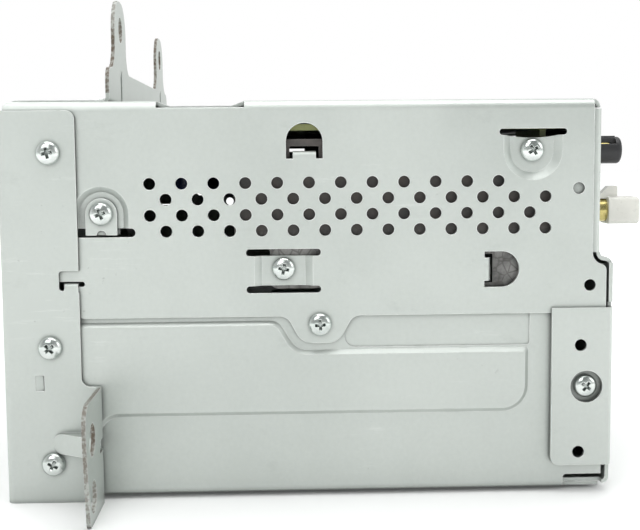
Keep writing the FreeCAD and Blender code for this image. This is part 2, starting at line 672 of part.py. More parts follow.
def front_flange(panel):
    """Cuts, hook and lanced window in the photographed side flange."""
    out = FLANGE_OUT
    y0, y1 = -out - 1, -out + SHEET + 1
    notch = prism([(14.6, 54.5, 0.8), (15.9, 54.5, 0.5), (15.9, 56.3), (FLANGE_DEPTH - 0.2, 56.3),
                   (FLANGE_DEPTH - 0.2, 54.0), (FLANGE_DEPTH + 1, 54.0), (FLANGE_DEPTH + 1, 59.5),
                   (14.6, 59.5, 0.8)], "xz", y0, y1)
    panel = panel.cut(notch)
    # hook bent in through the chassis slot
    hook = prism([(-out, 55.2), (-out, 56.3, 0.8), (-out + 3.4, 56.3), (-out + 3.4, 55.5),
                  (-out + SHEET, 55.5, 0.1), (-out + SHEET, 55.2)], "yz", 16.0, FLANGE_DEPTH - 0.3)
    panel = panel.cut(box(15.95, FLANGE_DEPTH + 1, y0, y1, 55.2, 56.4)).fuse(hook)
    # small lanced window
    panel = panel.cut(box(8.0, 10.2, y0, y1, 29.1, 33.0))
    lance = prism([(7.9, -out + 0.1), (7.9, -out + 0.6), (10.0, -out + 0.95), (10.0, -out + 0.45)], "xy",
                  29.1, 33.0)
    panel = panel.fuse(lance)
    for x, z in FLANGE_SCREWS:
        panel = panel.cut(hole_y(x, z, SCREW_HOLE_R, y0, y1))
    # the flange runs on into the ear in a hollow curve
    edge, ear = FLANGE_DEPTH - 0.01, LOWER_EAR_HEIGHT
    root = box(edge, edge + 2.2, -out, -out + SHEET, ear - 0.5, ear + 2.2)
    root = root.cut(hole_y(edge + 2.2, ear + 2.2, 2.2, -out - 1, -out + 2))
    return panel.fuse(root)


def rear_panel():
    """Stepped back with folded-in upper flanges and lower flanges outside the case."""
    up = REAR_UPPER
    low = REAR_LOWER
    top = CHASSIS_TOP - 2.5
    side = SIDE_IN - 0.02
    section = [(up, top), (up, STEP_Z, 1.2), (low, STEP_Z, BEND), (low, CASE_FLOOR, BEND),
               (143.4, CASE_FLOOR), (143.4, CASE_FLOOR + SHEET), (low - SHEET, CASE_FLOOR + SHEET,
                                                                  BEND - SHEET),
               (low - SHEET, STEP_Z - SHEET, BEND - SHEET), (up - SHEET, STEP_Z - SHEET, 2.2), (up - SHEET,
                                                                                                top)]
    back = prism(section, "xz", -side, side)
    # bottom flange stays clear of the tray's own folds
    for y0, y1 in ((-side - 1, -CASE_IN + 1.2), (CASE_IN - 1.2, side + 1)):
        back = back.cut(box(140, low - BEND, y0, y1, 0, CASE_FLOOR + SHEET + 0.6))
    for sign in (-1, 1):
        y_out, y_in = sorted((sign * side, sign * (side - SHEET)))
        flange = prism([(up, 62.6), (up, top, 0.5), (143.6, top, 2.0), (143.6, 62.6, 2.0)], "xz", y_out,
                       y_in)
        back = back.fuse(flange)
        y_out, y_in = sorted((sign * FLANGE_OUT, sign * (FLANGE_OUT - SHEET)))
        skirt = prism([(low, 48.6), (139.4, 48.6), (139.4, 7.5, 2.2), (low, 7.5, 1.0)], "xz", y_out, y_in)
        y_out, y_in = sorted((sign * FLANGE_OUT, sign * (side - 0.5)))
        wing = box(low - SHEET, low, y_out, y_in, 7.5, 48.6)
        back = back.fuse(wing).fuse(skirt)
        y_out, y_in = sorted((sign * CHASSIS_HALF_WIDTH, sign * (side - 0.5)))
        back = back.fuse(box(low - SHEET, low, y_out, y_in, 49.9, 60.0))
        reach = sign * (FLANGE_OUT + 1)
        for x, z, r in ((146.9, 38.9, 1.55), (146.6, 11.0, 1.55), (REAR_SCREW[0], REAR_SCREW[1], 4.15)):
            y0, y1 = sorted((reach, sign * (FLANGE_OUT - SHEET - 0.5)))
            back = back.cut(hole_y(x, z, r, y0, y1))
    for sign in (-1, 1):
        back = rounded_corner(back, up, sign * side, 62.6, top + 1)
        back = rounded_corner(back, low, sign * FLANGE_OUT, 7.0, 49.0)
    # openings for the sockets
    back = back.cut(rod("x", (SOCKET_Y, BLACK_SOCKET_Z), BLACK_SOCKET_R + 0.6, up - 5, up + 5))
    back = back.cut(box(up - 5, up + 5, SOCKET_Y - 6.0, SOCKET_Y + 6.0, WHITE_SOCKET_Z - 5.6,
                        WHITE_SOCKET_Z + 8.0))
    back = back.cut(box(up - 5, up + 5, HARNESS_Y[0] - 0.4, HARNESS_Y[1] + 0.4, HARNESS_Z[0] - 0.4,
                        HARNESS_Z[1] + 0.4))
    for i in range(5):
        for row in range(3):
            back = back.cut(slot("yz", -30.0 + 8.0 * i, -25.0 + 8.0 * i, 68.0 + 5.0 * row, 70.0 + 5.0 * row,
                                 up - 5, up + 5))
    for y, z in REAR_FACE_SCREWS:
        x = up if z > STEP_Z else low
        back = back.cut(rod("x", (y, z), SCREW_HOLE_R, x - 5, x + 5))
    return back.removeSplitter()


def rounded_corner(shape, x, y, z0, z1, radius=1.2):
    """Take the sharpness off an upright corner at the back."""
    inner = y - math.copysign(radius, y)
    y0, y1 = sorted((inner, y + math.copysign(1.0, y)))
    block = box(x - radius, x + 1.0, y0, y1, z0, z1)
    return shape.cut(block.cut(rod("z", (x - radius, inner), radius, z0 - 1, z1 + 1)))


HARNESS_Y = (12.0, 58.0)
HARNESS_Z = (79.0, 93.4)
REAR_FACE_SCREWS = [(7.0, 86.2), (63.0, 86.2)]


def rear_screw_y(y, z):
    """Screw driven forwards into the rear panel."""
    return moved(turned(screw(SCREW_LENGTH), V(0, 0, 0), V(0, 1, 0), 90), REAR_UPPER, y, z)


def top_screw(x, y, seat, length):
    """Upright screw with its head on top."""
    return moved(screw(length), x, y, seat)


# Gears

def gear(teeth, centre, phase, y0, y1):
    """Spur gear across y. The phase is the angle of one tooth in the xz plane."""
    pitch_r = GEAR_MODULE * teeth / 2.0
    tip = pitch_r + 0.82 * GEAR_MODULE
    root = pitch_r - 1.05 * GEAR_MODULE
    step = 360.0 / teeth
    points = []
    for i in range(teeth):
        middle = phase + step * i
        for share, radius in ((-0.30, root), (-0.10, tip), (0.10, tip), (0.30, root)):
            angle = math.radians(middle + share * step)
            points.append((centre[0] + radius * math.cos(angle), centre[1] + radius * math.sin(angle)))
    return prism(points, "xz", y0, y1)


def step_from(centre, distance, degrees):
    """Point at a distance and angle from another, in the xz plane."""
    angle = math.radians(degrees)
    return (centre[0] + distance * math.cos(angle), centre[1] + distance * math.sin(angle))


def mesh_phase(teeth, phase, other_teeth, bearing):
    """Tooth angle of a gear that meshes with another, seen at a bearing from it."""
    step = 360.0 / teeth
    offset = (phase - bearing) % step
    return bearing + 180.0 - offset * teeth / other_teeth + 180.0 / other_teeth


ROLLER_AT = (ROLLER_X, DISC_Z - DISC_T / 2.0 - ROLLER_R)
ROLLER_BEARING = 60.0       # where the idler sits, seen from the roller
IDLER_AT = step_from(ROLLER_AT, GEAR_MODULE * (ROLLER_TEETH + IDLER_TEETH) / 2.0, ROLLER_BEARING)
SMALL_BEARING = -20.0
WHEEL_AT = step_from(IDLER_AT, GEAR_MODULE * (IDLER_TEETH + SMALL_TEETH) / 2.0, SMALL_BEARING)
MOTOR_BEARING = -42.0
MOTOR_AT = step_from(WHEEL_AT, GEAR_MODULE * (WHEEL_TEETH + PINION_TEETH) / 2.0, MOTOR_BEARING)
IDLER_PHASE = ROLLER_BEARING + 180.0
ROLLER_PHASE = ROLLER_BEARING + 180.0 / ROLLER_TEETH
SMALL_PHASE = mesh_phase(IDLER_TEETH, IDLER_PHASE, SMALL_TEETH, SMALL_BEARING)
WHEEL_PHASE = MOTOR_BEARING
PINION_PHASE = MOTOR_BEARING + 180.0 + 180.0 / PINION_TEETH
TRAIN_Y = (79.3, 81.7)      # roller gear and idler
WHEEL_Y = (82.0, 84.3)


def swung(point, pivot, degrees):
    """Point in the xz plane after a swing that lowers whatever is before the pivot."""
    angle = math.radians(degrees)
    u, v = point[0] - pivot[0], point[1] - pivot[1]
    return (pivot[0] + u * math.cos(angle) - v * math.sin(angle),
            pivot[1] + u * math.sin(angle) + v * math.cos(angle))


def track(points, radius, y0, y1):
    """Bar with round ends along a chain of points in the xz plane."""
    pieces = [rod("y", p, radius, y0, y1) for p in points]
    for a, b in zip(points, points[1:]):
        length = math.hypot(b[0] - a[0], b[1] - a[1])
        if length < 0.01:
            continue
        nx, nz = -(b[1] - a[1]) / length * radius, (b[0] - a[0]) / length * radius
        corners = [(a[0] + nx, a[1] + nz), (b[0] + nx, b[1] + nz), (b[0] - nx, b[1] - nz),
                   (a[0] - nx, a[1] - nz)]
        pieces.append(prism(corners, "xz", y0, y1))
    return fuse(pieces[0], *pieces[1:])


ROLLER_PATH = [swung(ROLLER_AT, ARM_PIVOT, ARM_SWING * i / 4.0) for i in range(5)]
CLAMP_PIN = (CLAMP_PIN_X, ARM_Z + 0.5)
CLAMP_PATH = [swung(CLAMP_PIN, CLAMP_PIVOT, CLAMP_SWING * i / 4.0) for i in range(5)]
SLIDER_STUDS = [(62.0, 27.0), (100.0, 27.0)]


# Deck, the sprung inner unit

def deck_frame():
    """Tray with two walls that carries the whole mechanism."""
    half, floor = DECK_HALF, DECK_FLOOR
    tray = box(DECK_FRONT, DECK_REAR, -half, half, floor, DECK_TOP)
    tray = tray.cut(box(DECK_FRONT - 1, DECK_REAR - 1, -half + 1, half - 1, floor + 1, DECK_TOP + 1))
    lip = box(DECK_FRONT, DECK_FRONT + 1, -half + 8, half - 8, floor, floor + 6)
    tray = tray.fuse(lip)
    # floor openings under the traverse and beside the roller arm
    tray = tray.cut(prism([(66, -66, 4), (102, -66, 4), (102, 24, 4), (66, 24, 4)], "xy", floor - 1,
                          floor + 2))
    tray = tray.cut(prism([(128, -50, 3), (142, -50, 3), (142, 50, 3), (128, 50, 3)], "xy", floor - 1,
                          floor + 2))
    for sign in (-1, 1):
        y0, y1 = sorted((sign * 72.2, sign * 74.9))
        tray = tray.cut(box(16, 52, y0, y1, floor - 1, floor + 1.5))
        # slots for the roller shaft, the arm pivots and the clamp shaft
        y0, y1 = sorted((sign * (half - 2), sign * (half + 1)))
        tray = tray.cut(track(ROLLER_PATH, ROLLER_SHAFT_R + 0.7, y0, y1))
        tray = tray.cut(rod("y", ARM_PIVOT, 1.5 + FIT, y0, y1))
        tray = tray.cut(rod("y", CLAMP_PIVOT, 1.5, y0, y1))
        # lips that the cover is screwed to
        for x in (22.0, 126.0):
            y0, y1 = sorted((sign * (half - 0.5), sign * (half - 9)))
            ledge = box(x - 6, x + 6, y0, y1, DECK_TOP - 1, DECK_TOP)
            tray = tray.fuse(ledge).cut(rod("z", (x, sign * (half - 4.5)), SCREW_R, DECK_TOP - 2,
                                            DECK_TOP + 1))
        # pins that sit in the dampers
        for x in DAMPER_X:
            tray = tray.fuse(rod("z", (x, sign * DAMPER_Y), 1.8, floor - 6.0, floor + 0.5))
    tray = tray.cut(track(CLAMP_PATH, 1.8, -half - 1, -half + 2))
    # seats of the traverse plate
    for x, y in TRAVERSE_POSTS:
        tray = tray.fuse(rod("z", (x, y), 4.0, floor + 0.5, PLATE_Z))
    # studs of the gears, and the motor's hole
    tray = tray.fuse(rod("y", IDLER_AT, 1.0, half - 0.5, TRAIN_Y[1] + 0.1))
    tray = tray.fuse(rod("y", WHEEL_AT, 1.25, half - 0.5, WHEEL_Y[1] + 0.7))
    tray = tray.cut(rod("y", MOTOR_AT, 3.0, half - 2, half + 1))
    # headed studs that guide the shift slider
    for stud in SLIDER_STUDS:
        tray = tray.fuse(rod("y", stud, 1.5, -half - 2.0, -half + 0.5))
        tray = tray.fuse(rod("y", stud, 2.8, -half - 2.4, -half - 1.4))
    return tray.removeSplitter()


TRAVERSE_POSTS = [(53.5, 18.0), (121.0, 18.0), (53.5, -66.0), (121.0, -66.0)]
LEVER_PIVOT = (46.0, 70.0)
LEVER_PIN = (34.0, 52.0)
LEVER_Z = 34.8
GUIDE_Z = (31.9, 34.2)


def deck_cover():
    """Lid with the studs of the two disc levers."""
    half = DECK_HALF
    lid = box(DECK_FRONT, DECK_REAR, -half, half, DECK_TOP, DECK_TOP + 1)
    lid = lid.cut(rod("z", (DISC_X, 0.0), 17.0, DECK_TOP - 1, DECK_TOP + 2))
    for y in (-46.0, 46.0):
        opening = [(60, y - 12, 4), (108, y - 12, 4), (108, y + 12, 4), (60, y + 12, 4)]
        lid = lid.cut(prism(opening, "xy", DECK_TOP - 1, DECK_TOP + 2))
    for sign in (-1, 1):
        at = (LEVER_PIVOT[0], sign * LEVER_PIVOT[1])
        lid = lid.fuse(rod("z", at, 2.0, LEVER_Z - 0.4, DECK_TOP + 0.5))
        lid = lid.fuse(rod("z", at, 3.0, LEVER_Z - 1.0, LEVER_Z - 0.3))
        for x in (22.0, 126.0):
            lid = lid.cut(rod("z", (x, sign * (half - 4.5)), 1.5, DECK_TOP - 1, DECK_TOP + 2))
    rib = [(30.0, -30.0, 3), (56.0, -30.0, 3), (56.0, 30.0, 3), (30.0, 30.0, 3)]
    lid = lid.fuse(taper(rib, "xy", DECK_TOP + 1, DECK_TOP + 1.8, 0.8))
    lid = lid.cut(taper(rib_inset(rib, 0.6), "xy", DECK_TOP - 0.01, DECK_TOP + 0.8, 0.8))
    return lid.removeSplitter()


def disc_guides():
    """Upper guide over the rollers, hung from the deck cover, with arcs for the levers' pins."""
    low, high = GUIDE_Z
    half = 74.4
    plate = prism([(13.0, low + 1.2), (14.6, low), (24.8, low), (24.8, high), (13.0, high)], "xz", -half,
                  half)
    lens = rod("x", (0.0, low - 1800.0), 1800.9, 12, 27)
    plate = plate.cut(lens.common(box(12, 27, -50, 50, low - 1, low + 1)))
    for y in (-60.0, -20.0, 20.0, 60.0):
        plate = plate.fuse(box(14.0, 16.0, y - 4, y + 4, high - 0.5, DECK_TOP))
        plate = plate.fuse(prism([(15.5, high - 0.1), (24.0, high - 0.1), (15.5, DECK_TOP)], "xz", y - 0.8,
                                 y + 0.8))
    return plate.removeSplitter()


def disc_lever(sign):
    """Lever whose pin is pushed aside by the rim of a disc."""
    px, py = LEVER_PIVOT[0], sign * LEVER_PIVOT[1]
    tx, ty = LEVER_PIN[0], sign * LEVER_PIN[1]
    arm = flat_track([(px, py), (tx, ty)], 2.6, LEVER_Z, LEVER_Z + 1.2)
    hub = rod("z", (px, py), 4.0, LEVER_Z, DECK_TOP - 0.4)
    pin = fuse(rod("z", (tx, ty), 1.5, DISC_Z - 1.1, LEVER_Z + 0.5),
               rod("z", (tx, ty), 3.0, LEVER_Z, LEVER_Z + 1.6))
    lever = fuse(arm, hub, pin)
    return lever.cut(rod("z", (px, py), 2.0 + FIT, LEVER_Z - 1, DECK_TOP + 1))


def flat_track(points, radius, z0, z1):
    """Bar with round ends along points in the xy plane."""
    pieces = [rod("z", p, radius, z0, z1) for p in points]
    for a, b in zip(points, points[1:]):
        length = math.hypot(b[0] - a[0], b[1] - a[1])
        nx, ny = -(b[1] - a[1]) / length * radius, (b[0] - a[0]) / length * radius
        corners = [(a[0] + nx, a[1] + ny), (b[0] + nx, b[1] + ny), (b[0] - nx, b[1] - ny),
                   (a[0] - nx, a[1] - ny)]
        pieces.append(prism(corners, "xy", z0, z1))
    return fuse(pieces[0], *pieces[1:])


def roller_arm():
    """Two side plates joined by a bar, which lower the roller."""
    pieces = []
    for sign in (-1, 1):
        y0, y1 = sorted((sign * 73.0, sign * 74.2))
        side = track([ARM_PIVOT, (48.0, 15.9), (29.0, 15.9), ROLLER_AT], 2.0, y0, y1)
        side = side.fuse(rod("y", ROLLER_AT, 4.2, y0, y1)).fuse(rod("y", ARM_PIVOT, 3.4, y0, y1))
        side = side.cut(rod("y", ROLLER_AT, ROLLER_SHAFT_R + FIT, y0 - 1, y1 + 1))
        y0, y1 = sorted((sign * 73.5, sign * 76.8))
        pieces.append(side.fuse(rod("y", ARM_PIVOT, 1.5, y0, y1)))
    bar = prism([(25.0, 16.0), (28.2, 16.0), (28.2, 19.0), (27.0, 19.0), (27.0, 17.2), (25.0, 17.2)], "xz",
                -73.5, 73.5)
    return fuse(bar, *pieces)


def roller_shaft():
    """Steel shaft from the gear to the cam slot in the slider."""
    return rod("y", ROLLER_AT, ROLLER_SHAFT_R, -77.6, TRAIN_Y[1] + 0.1)


def rubber_rollers():
    """Two rubber sleeves, thinner towards the middle so that only a disc's rim is gripped."""
    sleeves = []
    x, z = ROLLER_AT
    for sign in (-1, 1):
        cone = Part.makeCone(4.4, ROLLER_R, 66.0, V(x, sign * 3.0, z), V(0, sign, 0))
        y0, y1 = sorted((sign * 68.9, sign * 71.5))
        body = cone.fuse(rod("y", ROLLER_AT, ROLLER_R, y0, y1))
        for i in range(8):
            y = sign * (8.0 + 8.0 * i)
            body = body.cut(tube("y", ROLLER_AT, 8.0, 4.15 + 0.1 * i, y - 0.35, y + 0.35))
        sleeves.append(body.cut(rod("y", ROLLER_AT, ROLLER_SHAFT_R, -80, 80)))
    return group(sleeves)


def roller_gear():
    """Gear on the end of the roller shaft."""
    wheel = gear(ROLLER_TEETH, ROLLER_AT, ROLLER_PHASE, TRAIN_Y[0], TRAIN_Y[1])
    wheel = wheel.fuse(rod("y", ROLLER_AT, 2.9, 77.4, TRAIN_Y[0] + 0.2))
    return wheel.cut(rod("y", ROLLER_AT, ROLLER_SHAFT_R, 70, 90))


def idler_gear():
    """Gear between the compound gear and the roller."""
    wheel = gear(IDLER_TEETH, IDLER_AT, IDLER_PHASE, TRAIN_Y[0], TRAIN_Y[1])
    wheel = wheel.fuse(rod("y", IDLER_AT, 2.2, 76.3, TRAIN_Y[0] + 0.2))
    return wheel.cut(rod("y", IDLER_AT, 1.0 + FIT, 70, 90))


def compound_gear():
    """Large and small gear in one moulding."""
    wheel = gear(WHEEL_TEETH, WHEEL_AT, WHEEL_PHASE, WHEEL_Y[0], WHEEL_Y[1])
    web = tube("y", WHEEL_AT, 7.4, 4.0, WHEEL_Y[0] + 1.3, WHEEL_Y[1] + 1)
    small = gear(SMALL_TEETH, WHEEL_AT, SMALL_PHASE, TRAIN_Y[0] - 0.4, WHEEL_Y[0] + 0.2)
    hub = rod("y", WHEEL_AT, 2.2, 76.3, TRAIN_Y[0])
    wheel = wheel.cut(web).fuse(small).fuse(hub)
    return wheel.cut(rod("y", WHEEL_AT, 1.25 + FIT, 70, 90))


def motor_pinion():
    """Small gear pressed on the motor's shaft, with that shaft."""
    wheel = gear(PINION_TEETH, MOTOR_AT, PINION_PHASE, WHEEL_Y[0], WHEEL_Y[1] + 0.4)
    return wheel.fuse(rod("y", MOTOR_AT, 0.75, 72.0, WHEEL_Y[1] + 1.0)).fuse(rod("y", MOTOR_AT, 1.7, 78.0,
                                                                                 WHEEL_Y[0] + 0.2))


def loading_motor():
    """Can motor along y, below the path of a disc."""
    can = rod("y", MOTOR_AT, 7.0, 50.0, 72.6)
    rounded = [e for e in can.Edges if len(e.Vertexes) == 1]
    can = can.makeFillet(1.2, rounded)
    nose = rod("y", MOTOR_AT, 2.9, 72.0, 76.4)
    cap = rod("y", MOTOR_AT, 5.4, 49.0, 50.5)
    body = fuse(can, nose, cap)
    x, z = MOTOR_AT
    for side in (-3.0, 3.0):
        body = body.fuse(box(x + side - 0.6, x + side + 0.6, 46.4, 49.5, z - 0.2, z + 0.2))
    return body.cut(rod("y", MOTOR_AT, 0.75 + FIT, 71.0, 90))


def gear_clips():
    """Washer that keeps the compound gear on its stud."""
    return tube("y", WHEEL_AT, 2.4, 1.25, WHEEL_Y[1] + 0.15, WHEEL_Y[1] + 0.6)


def shift_slider():
    """Cam plate that drops the roller and the clamp together."""
    y0, y1 = -DECK_HALF - 1.2, -DECK_HALF - 0.2
    plate = prism([(12.5, 19.5, 2), (26.0, 19.5, 3), (30.0, 22.0, 3), (114.0, 22.0, 4), (127.0, 30.0, 3),
                   (127.0, 41.0, 2), (104.0, 41.0, 3), (98.0, 32.0, 4), (12.5, 32.0, 2)], "xz", y0, y1)
    roller_cam = [(p[0] - SLIDER_TRAVEL * i / 4.0, p[1]) for i, p in enumerate(ROLLER_PATH)]
    # the slot is open towards the front, where the shaft comes out of it
    roller_cam[-1] = (roller_cam[-1][0] - 6.0, roller_cam[-1][1])
    plate = plate.cut(track(roller_cam, ROLLER_SHAFT_R + 0.35, y0 - 1, y1 + 1))
    clamp_cam = [(p[0] - SLIDER_TRAVEL * i / 4.0, p[1]) for i, p in enumerate(CLAMP_PATH)]
    plate = plate.cut(track(clamp_cam, 1.2 + 0.3, y0 - 1, y1 + 1))
    for x, z in SLIDER_STUDS:
        plate = plate.cut(track([(x, z), (x - SLIDER_TRAVEL, z)], 1.5 + 0.1, y0 - 1, y1 + 1))
    plate = plate.cut(prism([(72, 24.5, 1), (86, 24.5, 1), (86, 29.5, 1), (72, 29.5, 1)], "xz", y0 - 1,
                            y1 + 1))
    return plate.removeSplitter()


def clamp_arm():
    """Arm over the disc that presses the clamper down."""
    top = ARM_Z + 1.0
    plate = prism([(71.0, -12.0, 6), (98.0, -12.0, 12), (118.0, -72.6, 3), (143.0, -72.6, 2),
                   (143.0, 72.6, 2),
                   (118.0, 72.6, 3), (98.0, 12.0, 12), (71.0, 12.0, 6)], "xy", ARM_Z, top)
    plate = plate.cut(rod("z", (DISC_X, 0.0), 6.0, ARM_Z - 1, top + 1))
    plate = plate.cut(prism([(112, -22, 4), (132, -46, 4), (132, 46, 4), (112, 22, 4)], "xy", ARM_Z - 1,
                            top + 1))
    for sign in (-1, 1):
        # the wound springs sit in notches
        y0, y1 = sorted((sign * 59.0, sign * 67.0))
        plate = plate.cut(box(136.0, 144.0, y0, y1, ARM_Z - 1, top + 1))
        y0, y1 = sorted((sign * 71.6, sign * 72.6))
        ear = prism([(118.0, ARM_Z + 0.5), (123.0, 35.0, 1), (136.0, 32.9, 3), (143.0, 32.9, 2.5),
                     (143.0, top), (118.0, top)],
                    "xz", y0, y1)
        plate = plate.fuse(ear.cut(rod("y", CLAMP_PIVOT, 1.5 + FIT, y0 - 1, y1 + 1)))
        y0, y1 = sorted((sign * 8.0, sign * 9.0))
        plate = plate.fuse(box(93.0, 112.0, y0, y1, top - 0.2, top + 1.2))
    pin = rod("y", CLAMP_PIN, 1.2, -77.4, -71.8)
    lug = box(CLAMP_PIN_X - 2.0, CLAMP_PIN_X + 2.0, -72.6, -70.6, ARM_Z - 1.0, top)
    return fuse(plate, lug, pin)


def clamp_shaft():
    """Rod across the deck that the clamp arm swings on."""
    return rod("y", CLAMP_PIVOT, 1.5, -DECK_HALF, DECK_HALF)


def coil(axis, at, radius, wire, start, end, turns):
    """Round wire wound along an axis."""
    length = end - start
    pitch = length / turns
    helix = Part.makeHelix(pitch, length, radius)
    corners = []
    for i in range(13):
        angle = math.radians(30.0 * i)
        corners.append(V(radius + wire * math.cos(angle), 0, wire * math.sin(angle)))
    body = Part.Wire(helix.Edges).makePipeShell([Part.makePolygon(corners)], True, True)
    if axis == "y":
        body = turned(body, V(0, 0, 0), V(1, 0, 0), -90)
        return moved(body, at[0], start, at[1])
    return moved(body, at[0], at[1], start)


def clamp_spring():
    """Wound spring on the clamp shaft, one leg over the arm and one under the cover."""
    wire = 0.35
    wound = 2.3
    springs = []
    for sign in (-1, 1):
        y0, y1 = sorted((sign * 60.0, sign * 66.0))
        body = coil("y", CLAMP_PIVOT, wound, wire, y0, y1, 7)
        springs.append(body)
    return group(springs)


def clamper():
    """Free-turning plate that hangs in the clamp arm."""
    z = CLAMPER_Z
    at = (DISC_X, 0.0)
    disc = rod("z", at, CLAMPER_R, z + 0.4, z + 3.0)
    ring = tube("z", at, CLAMPER_R, CLAMPER_R - 2.5, z, z + 0.6)
    neck = rod("z", at, 4.6, z + 2.8, ARM_Z + 2.0)
    cap = rod("z", at, 8.6, ARM_Z + 1.3, ARM_Z + 2.6)
    body = fuse(disc, ring, neck, cap)
    recess = Part.makeCone(8.4, 6.9, 2.2, V(DISC_X, 0, z - 0.01))
    return body.cut(recess)


# Traverse with the spindle and the pickup

def traverse_plate():
    """Plate that carries the spindle motor, the guide rods and the feed."""
    z0, z1 = PLATE_Z, PLATE_Z + PLATE_T
    plate = prism([(49.5, -70.0, 4), (125.0, -70.0, 4), (125.0, 24.0, 4), (49.5, 24.0, 4)], "xy", z0, z1)
    plate = plate.cut(prism([(65.0, -68.0, 3), (103.0, -68.0, 3), (103.0, -13.5, 3), (65.0, -13.5, 3)],
                            "xy", z0 - 1, z1 + 1))
    plate = plate.cut(rod("z", (DISC_X, 0.0), 3.0, z0 - 1, z1 + 1))
    for x in (DISC_X - ROD_SPREAD, DISC_X + ROD_SPREAD):
        for y0, y1 in ((-69.8, -68.0), (-11.5, -10.0)):
            lug = box(x - 3.2, x + 3.2, y0, y1, z1 - 0.3, ROD_Z + 3.0)
            plate = plate.fuse(lug).cut(rod("y", (x, ROD_Z), ROD_R, y0 - 1, y1 + 1))
    # bearings of the lead screw
    lug = prism([(LEAD_X - 3.0, z1 - 0.3), (LEAD_X + 3.0, z1 - 0.3), (LEAD_X + 3.0, LEAD_Z + 3.0, 1.5),
                 (LEAD_X - 3.0, LEAD_Z + 3.0, 1.5)],
                "xz", -69.8, -68.2)
    plate = plate.fuse(lug).cut(rod("y", (LEAD_X, LEAD_Z), 1.0 + FIT, -71, -67))
    lug = prism([(LEAD_X - 5.2, z1 - 0.3), (LEAD_X + 5.6, z1 - 0.3), (LEAD_X + 5.6, 26.2, 4),
                 (LEAD_X - 5.2, 26.2, 4)],
                "xz", -11.5, -10.0)
    plate = plate.fuse(lug).cut(rod("y", (LEAD_X, LEAD_Z), 2.5, -12, -9))
    for x, y in TRAVERSE_POSTS:
        plate = plate.cut(rod("z", (x, y), 1.3, z0 - 1, z1 + 1))
    return plate.removeSplitter()


def guide_rods():
    """Two steel rods that the pickup slides on."""
    return group([rod("y", (x, ROD_Z), ROD_R, -69.8, -9.7)
                  for x in (DISC_X - ROD_SPREAD, DISC_X + ROD_SPREAD)])


def pickup_sled():
    """Die-cast body of the optical pickup."""
    y0, y1 = -LENS_START - 12.0, -LENS_START + 10.0
    x0, x1 = DISC_X - ROD_SPREAD, DISC_X + ROD_SPREAD
    body = prism([(x0 + 5.0, y0, 3), (x1 - 6.0, y0, 3), (x1 - 6.0, y1, 2), (DISC_X + 6, y1, 4),
                  (DISC_X, y1 - 1.5, 9),
                  (DISC_X - 6, y1, 4), (x0 + 5.0, y1, 2)], "xy", 15.8, 23.0)
    bearing = prism([(x0 - 3.2, y0 + 3), (x0 + 6.0, y0 + 3), (x0 + 6.0, y1 - 1), (x0 - 3.2, y1 - 1)], "xy",
                    15.6, 21.0)
    body = body.fuse(bearing).cut(rod("y", (x0, ROD_Z), ROD_R + FIT, y0 - 1, y1 + 1))
    fork = box(x1 - 7.0, x1 + 3.0, -LENS_START - 4, -LENS_START + 4, 15.6, 20.6)
    fork = fork.cut(box(x1 - 2.2, x1 + 4, -LENS_START - 5, -LENS_START + 5, ROD_Z - ROD_R - FIT,
                        ROD_Z + ROD_R + FIT))
    body = body.fuse(fork)
    # follower that rides in the lead screw's groove
    reach = LEAD_X - LEAD_R - LEAD_RIDGE - 0.3
    body = body.fuse(box(x1 - 7.0, reach, -LENS_START - 3, -LENS_START + 3, 20.2, 22.4))
    tooth_y = -LENS_START
    tooth = prism([(reach - 0.2, tooth_y - 0.55), (LEAD_X - LEAD_R - 0.15, tooth_y - 0.25),
                   (LEAD_X - LEAD_R - 0.15, tooth_y + 0.25), (reach - 0.2,
                                                              tooth_y + 0.55)], "xy", 20.7, 21.9)
    body = body.fuse(tooth)
    # well of the lens
    well = [(DISC_X - 6.8, -LENS_START - 5.3, 1), (DISC_X + 6.8, -LENS_START - 5.3, 1),
            (DISC_X + 6.8, -LENS_START + 5.3, 1), (DISC_X - 6.8, -LENS_START + 5.3, 1)]
    body = body.cut(prism(well, "xy", 21.0, 24.0))
    return body.removeSplitter()


def objective_lens():
    """Lens in its holder, free to focus."""
    at = (DISC_X, -LENS_START)
    holder = prism([(at[0] - 6.5, at[1] - 5.0, 1), (at[0] + 6.5, at[1] - 5.0, 1),
                    (at[0] + 6.5, at[1] + 5.0, 1),
                    (at[0] - 6.5, at[1] + 5.0, 1)], "xy", 22.0, 24.0)
    ring = rod("z", at, 3.6, 23.8, 24.8)
    dome = Part.makeSphere(4.2, V(at[0], at[1], 21.0)).common(rod("z", at, 2.3, 23.8, 26.0))
    return fuse(holder, ring.cut(rod("z", at, 2.3, 24.3, 25)), dome)


def spindle_motor():
    """Flat motor under the turntable."""
    at = (DISC_X, 0.0)
    body = rod("z", at, 11.0, PLATE_Z + PLATE_T, 22.4)
    edges = [e for e in body.Edges if len(e.Vertexes) == 1 and e.BoundBox.ZMin > 22]
    body = body.makeFillet(1.0, edges)
    body = body.fuse(rod("z", at, 3.4, 22.0, 23.4))
    return body.cut(rod("z", at, 1.0 + FIT, PLATE_Z, 25))


def turntable():
    """Seat and centring cone on the spindle."""
    at = (DISC_X, 0.0)
    seat = rod("z", at, SEAT_R, SEAT_Z - 1.8, SEAT_Z)
    hub = rod("z", at, 5.0, SEAT_Z - 3.0, SEAT_Z)
    cone = Part.makeCone(7.4, 6.4, 1.8, V(DISC_X, 0, SEAT_Z - 0.01))
    crown = Part.makeCone(6.4, 4.4, 0.9, V(DISC_X, 0, SEAT_Z + 1.78))
    shaft = rod("z", at, 1.0, PLATE_Z + PLATE_T + 0.3, SEAT_Z)
    groove = tube("z", at, 8.6, 7.6, SEAT_Z - 0.4, SEAT_Z + 1)
    return fuse(seat, hub, cone, crown, shaft).cut(groove)


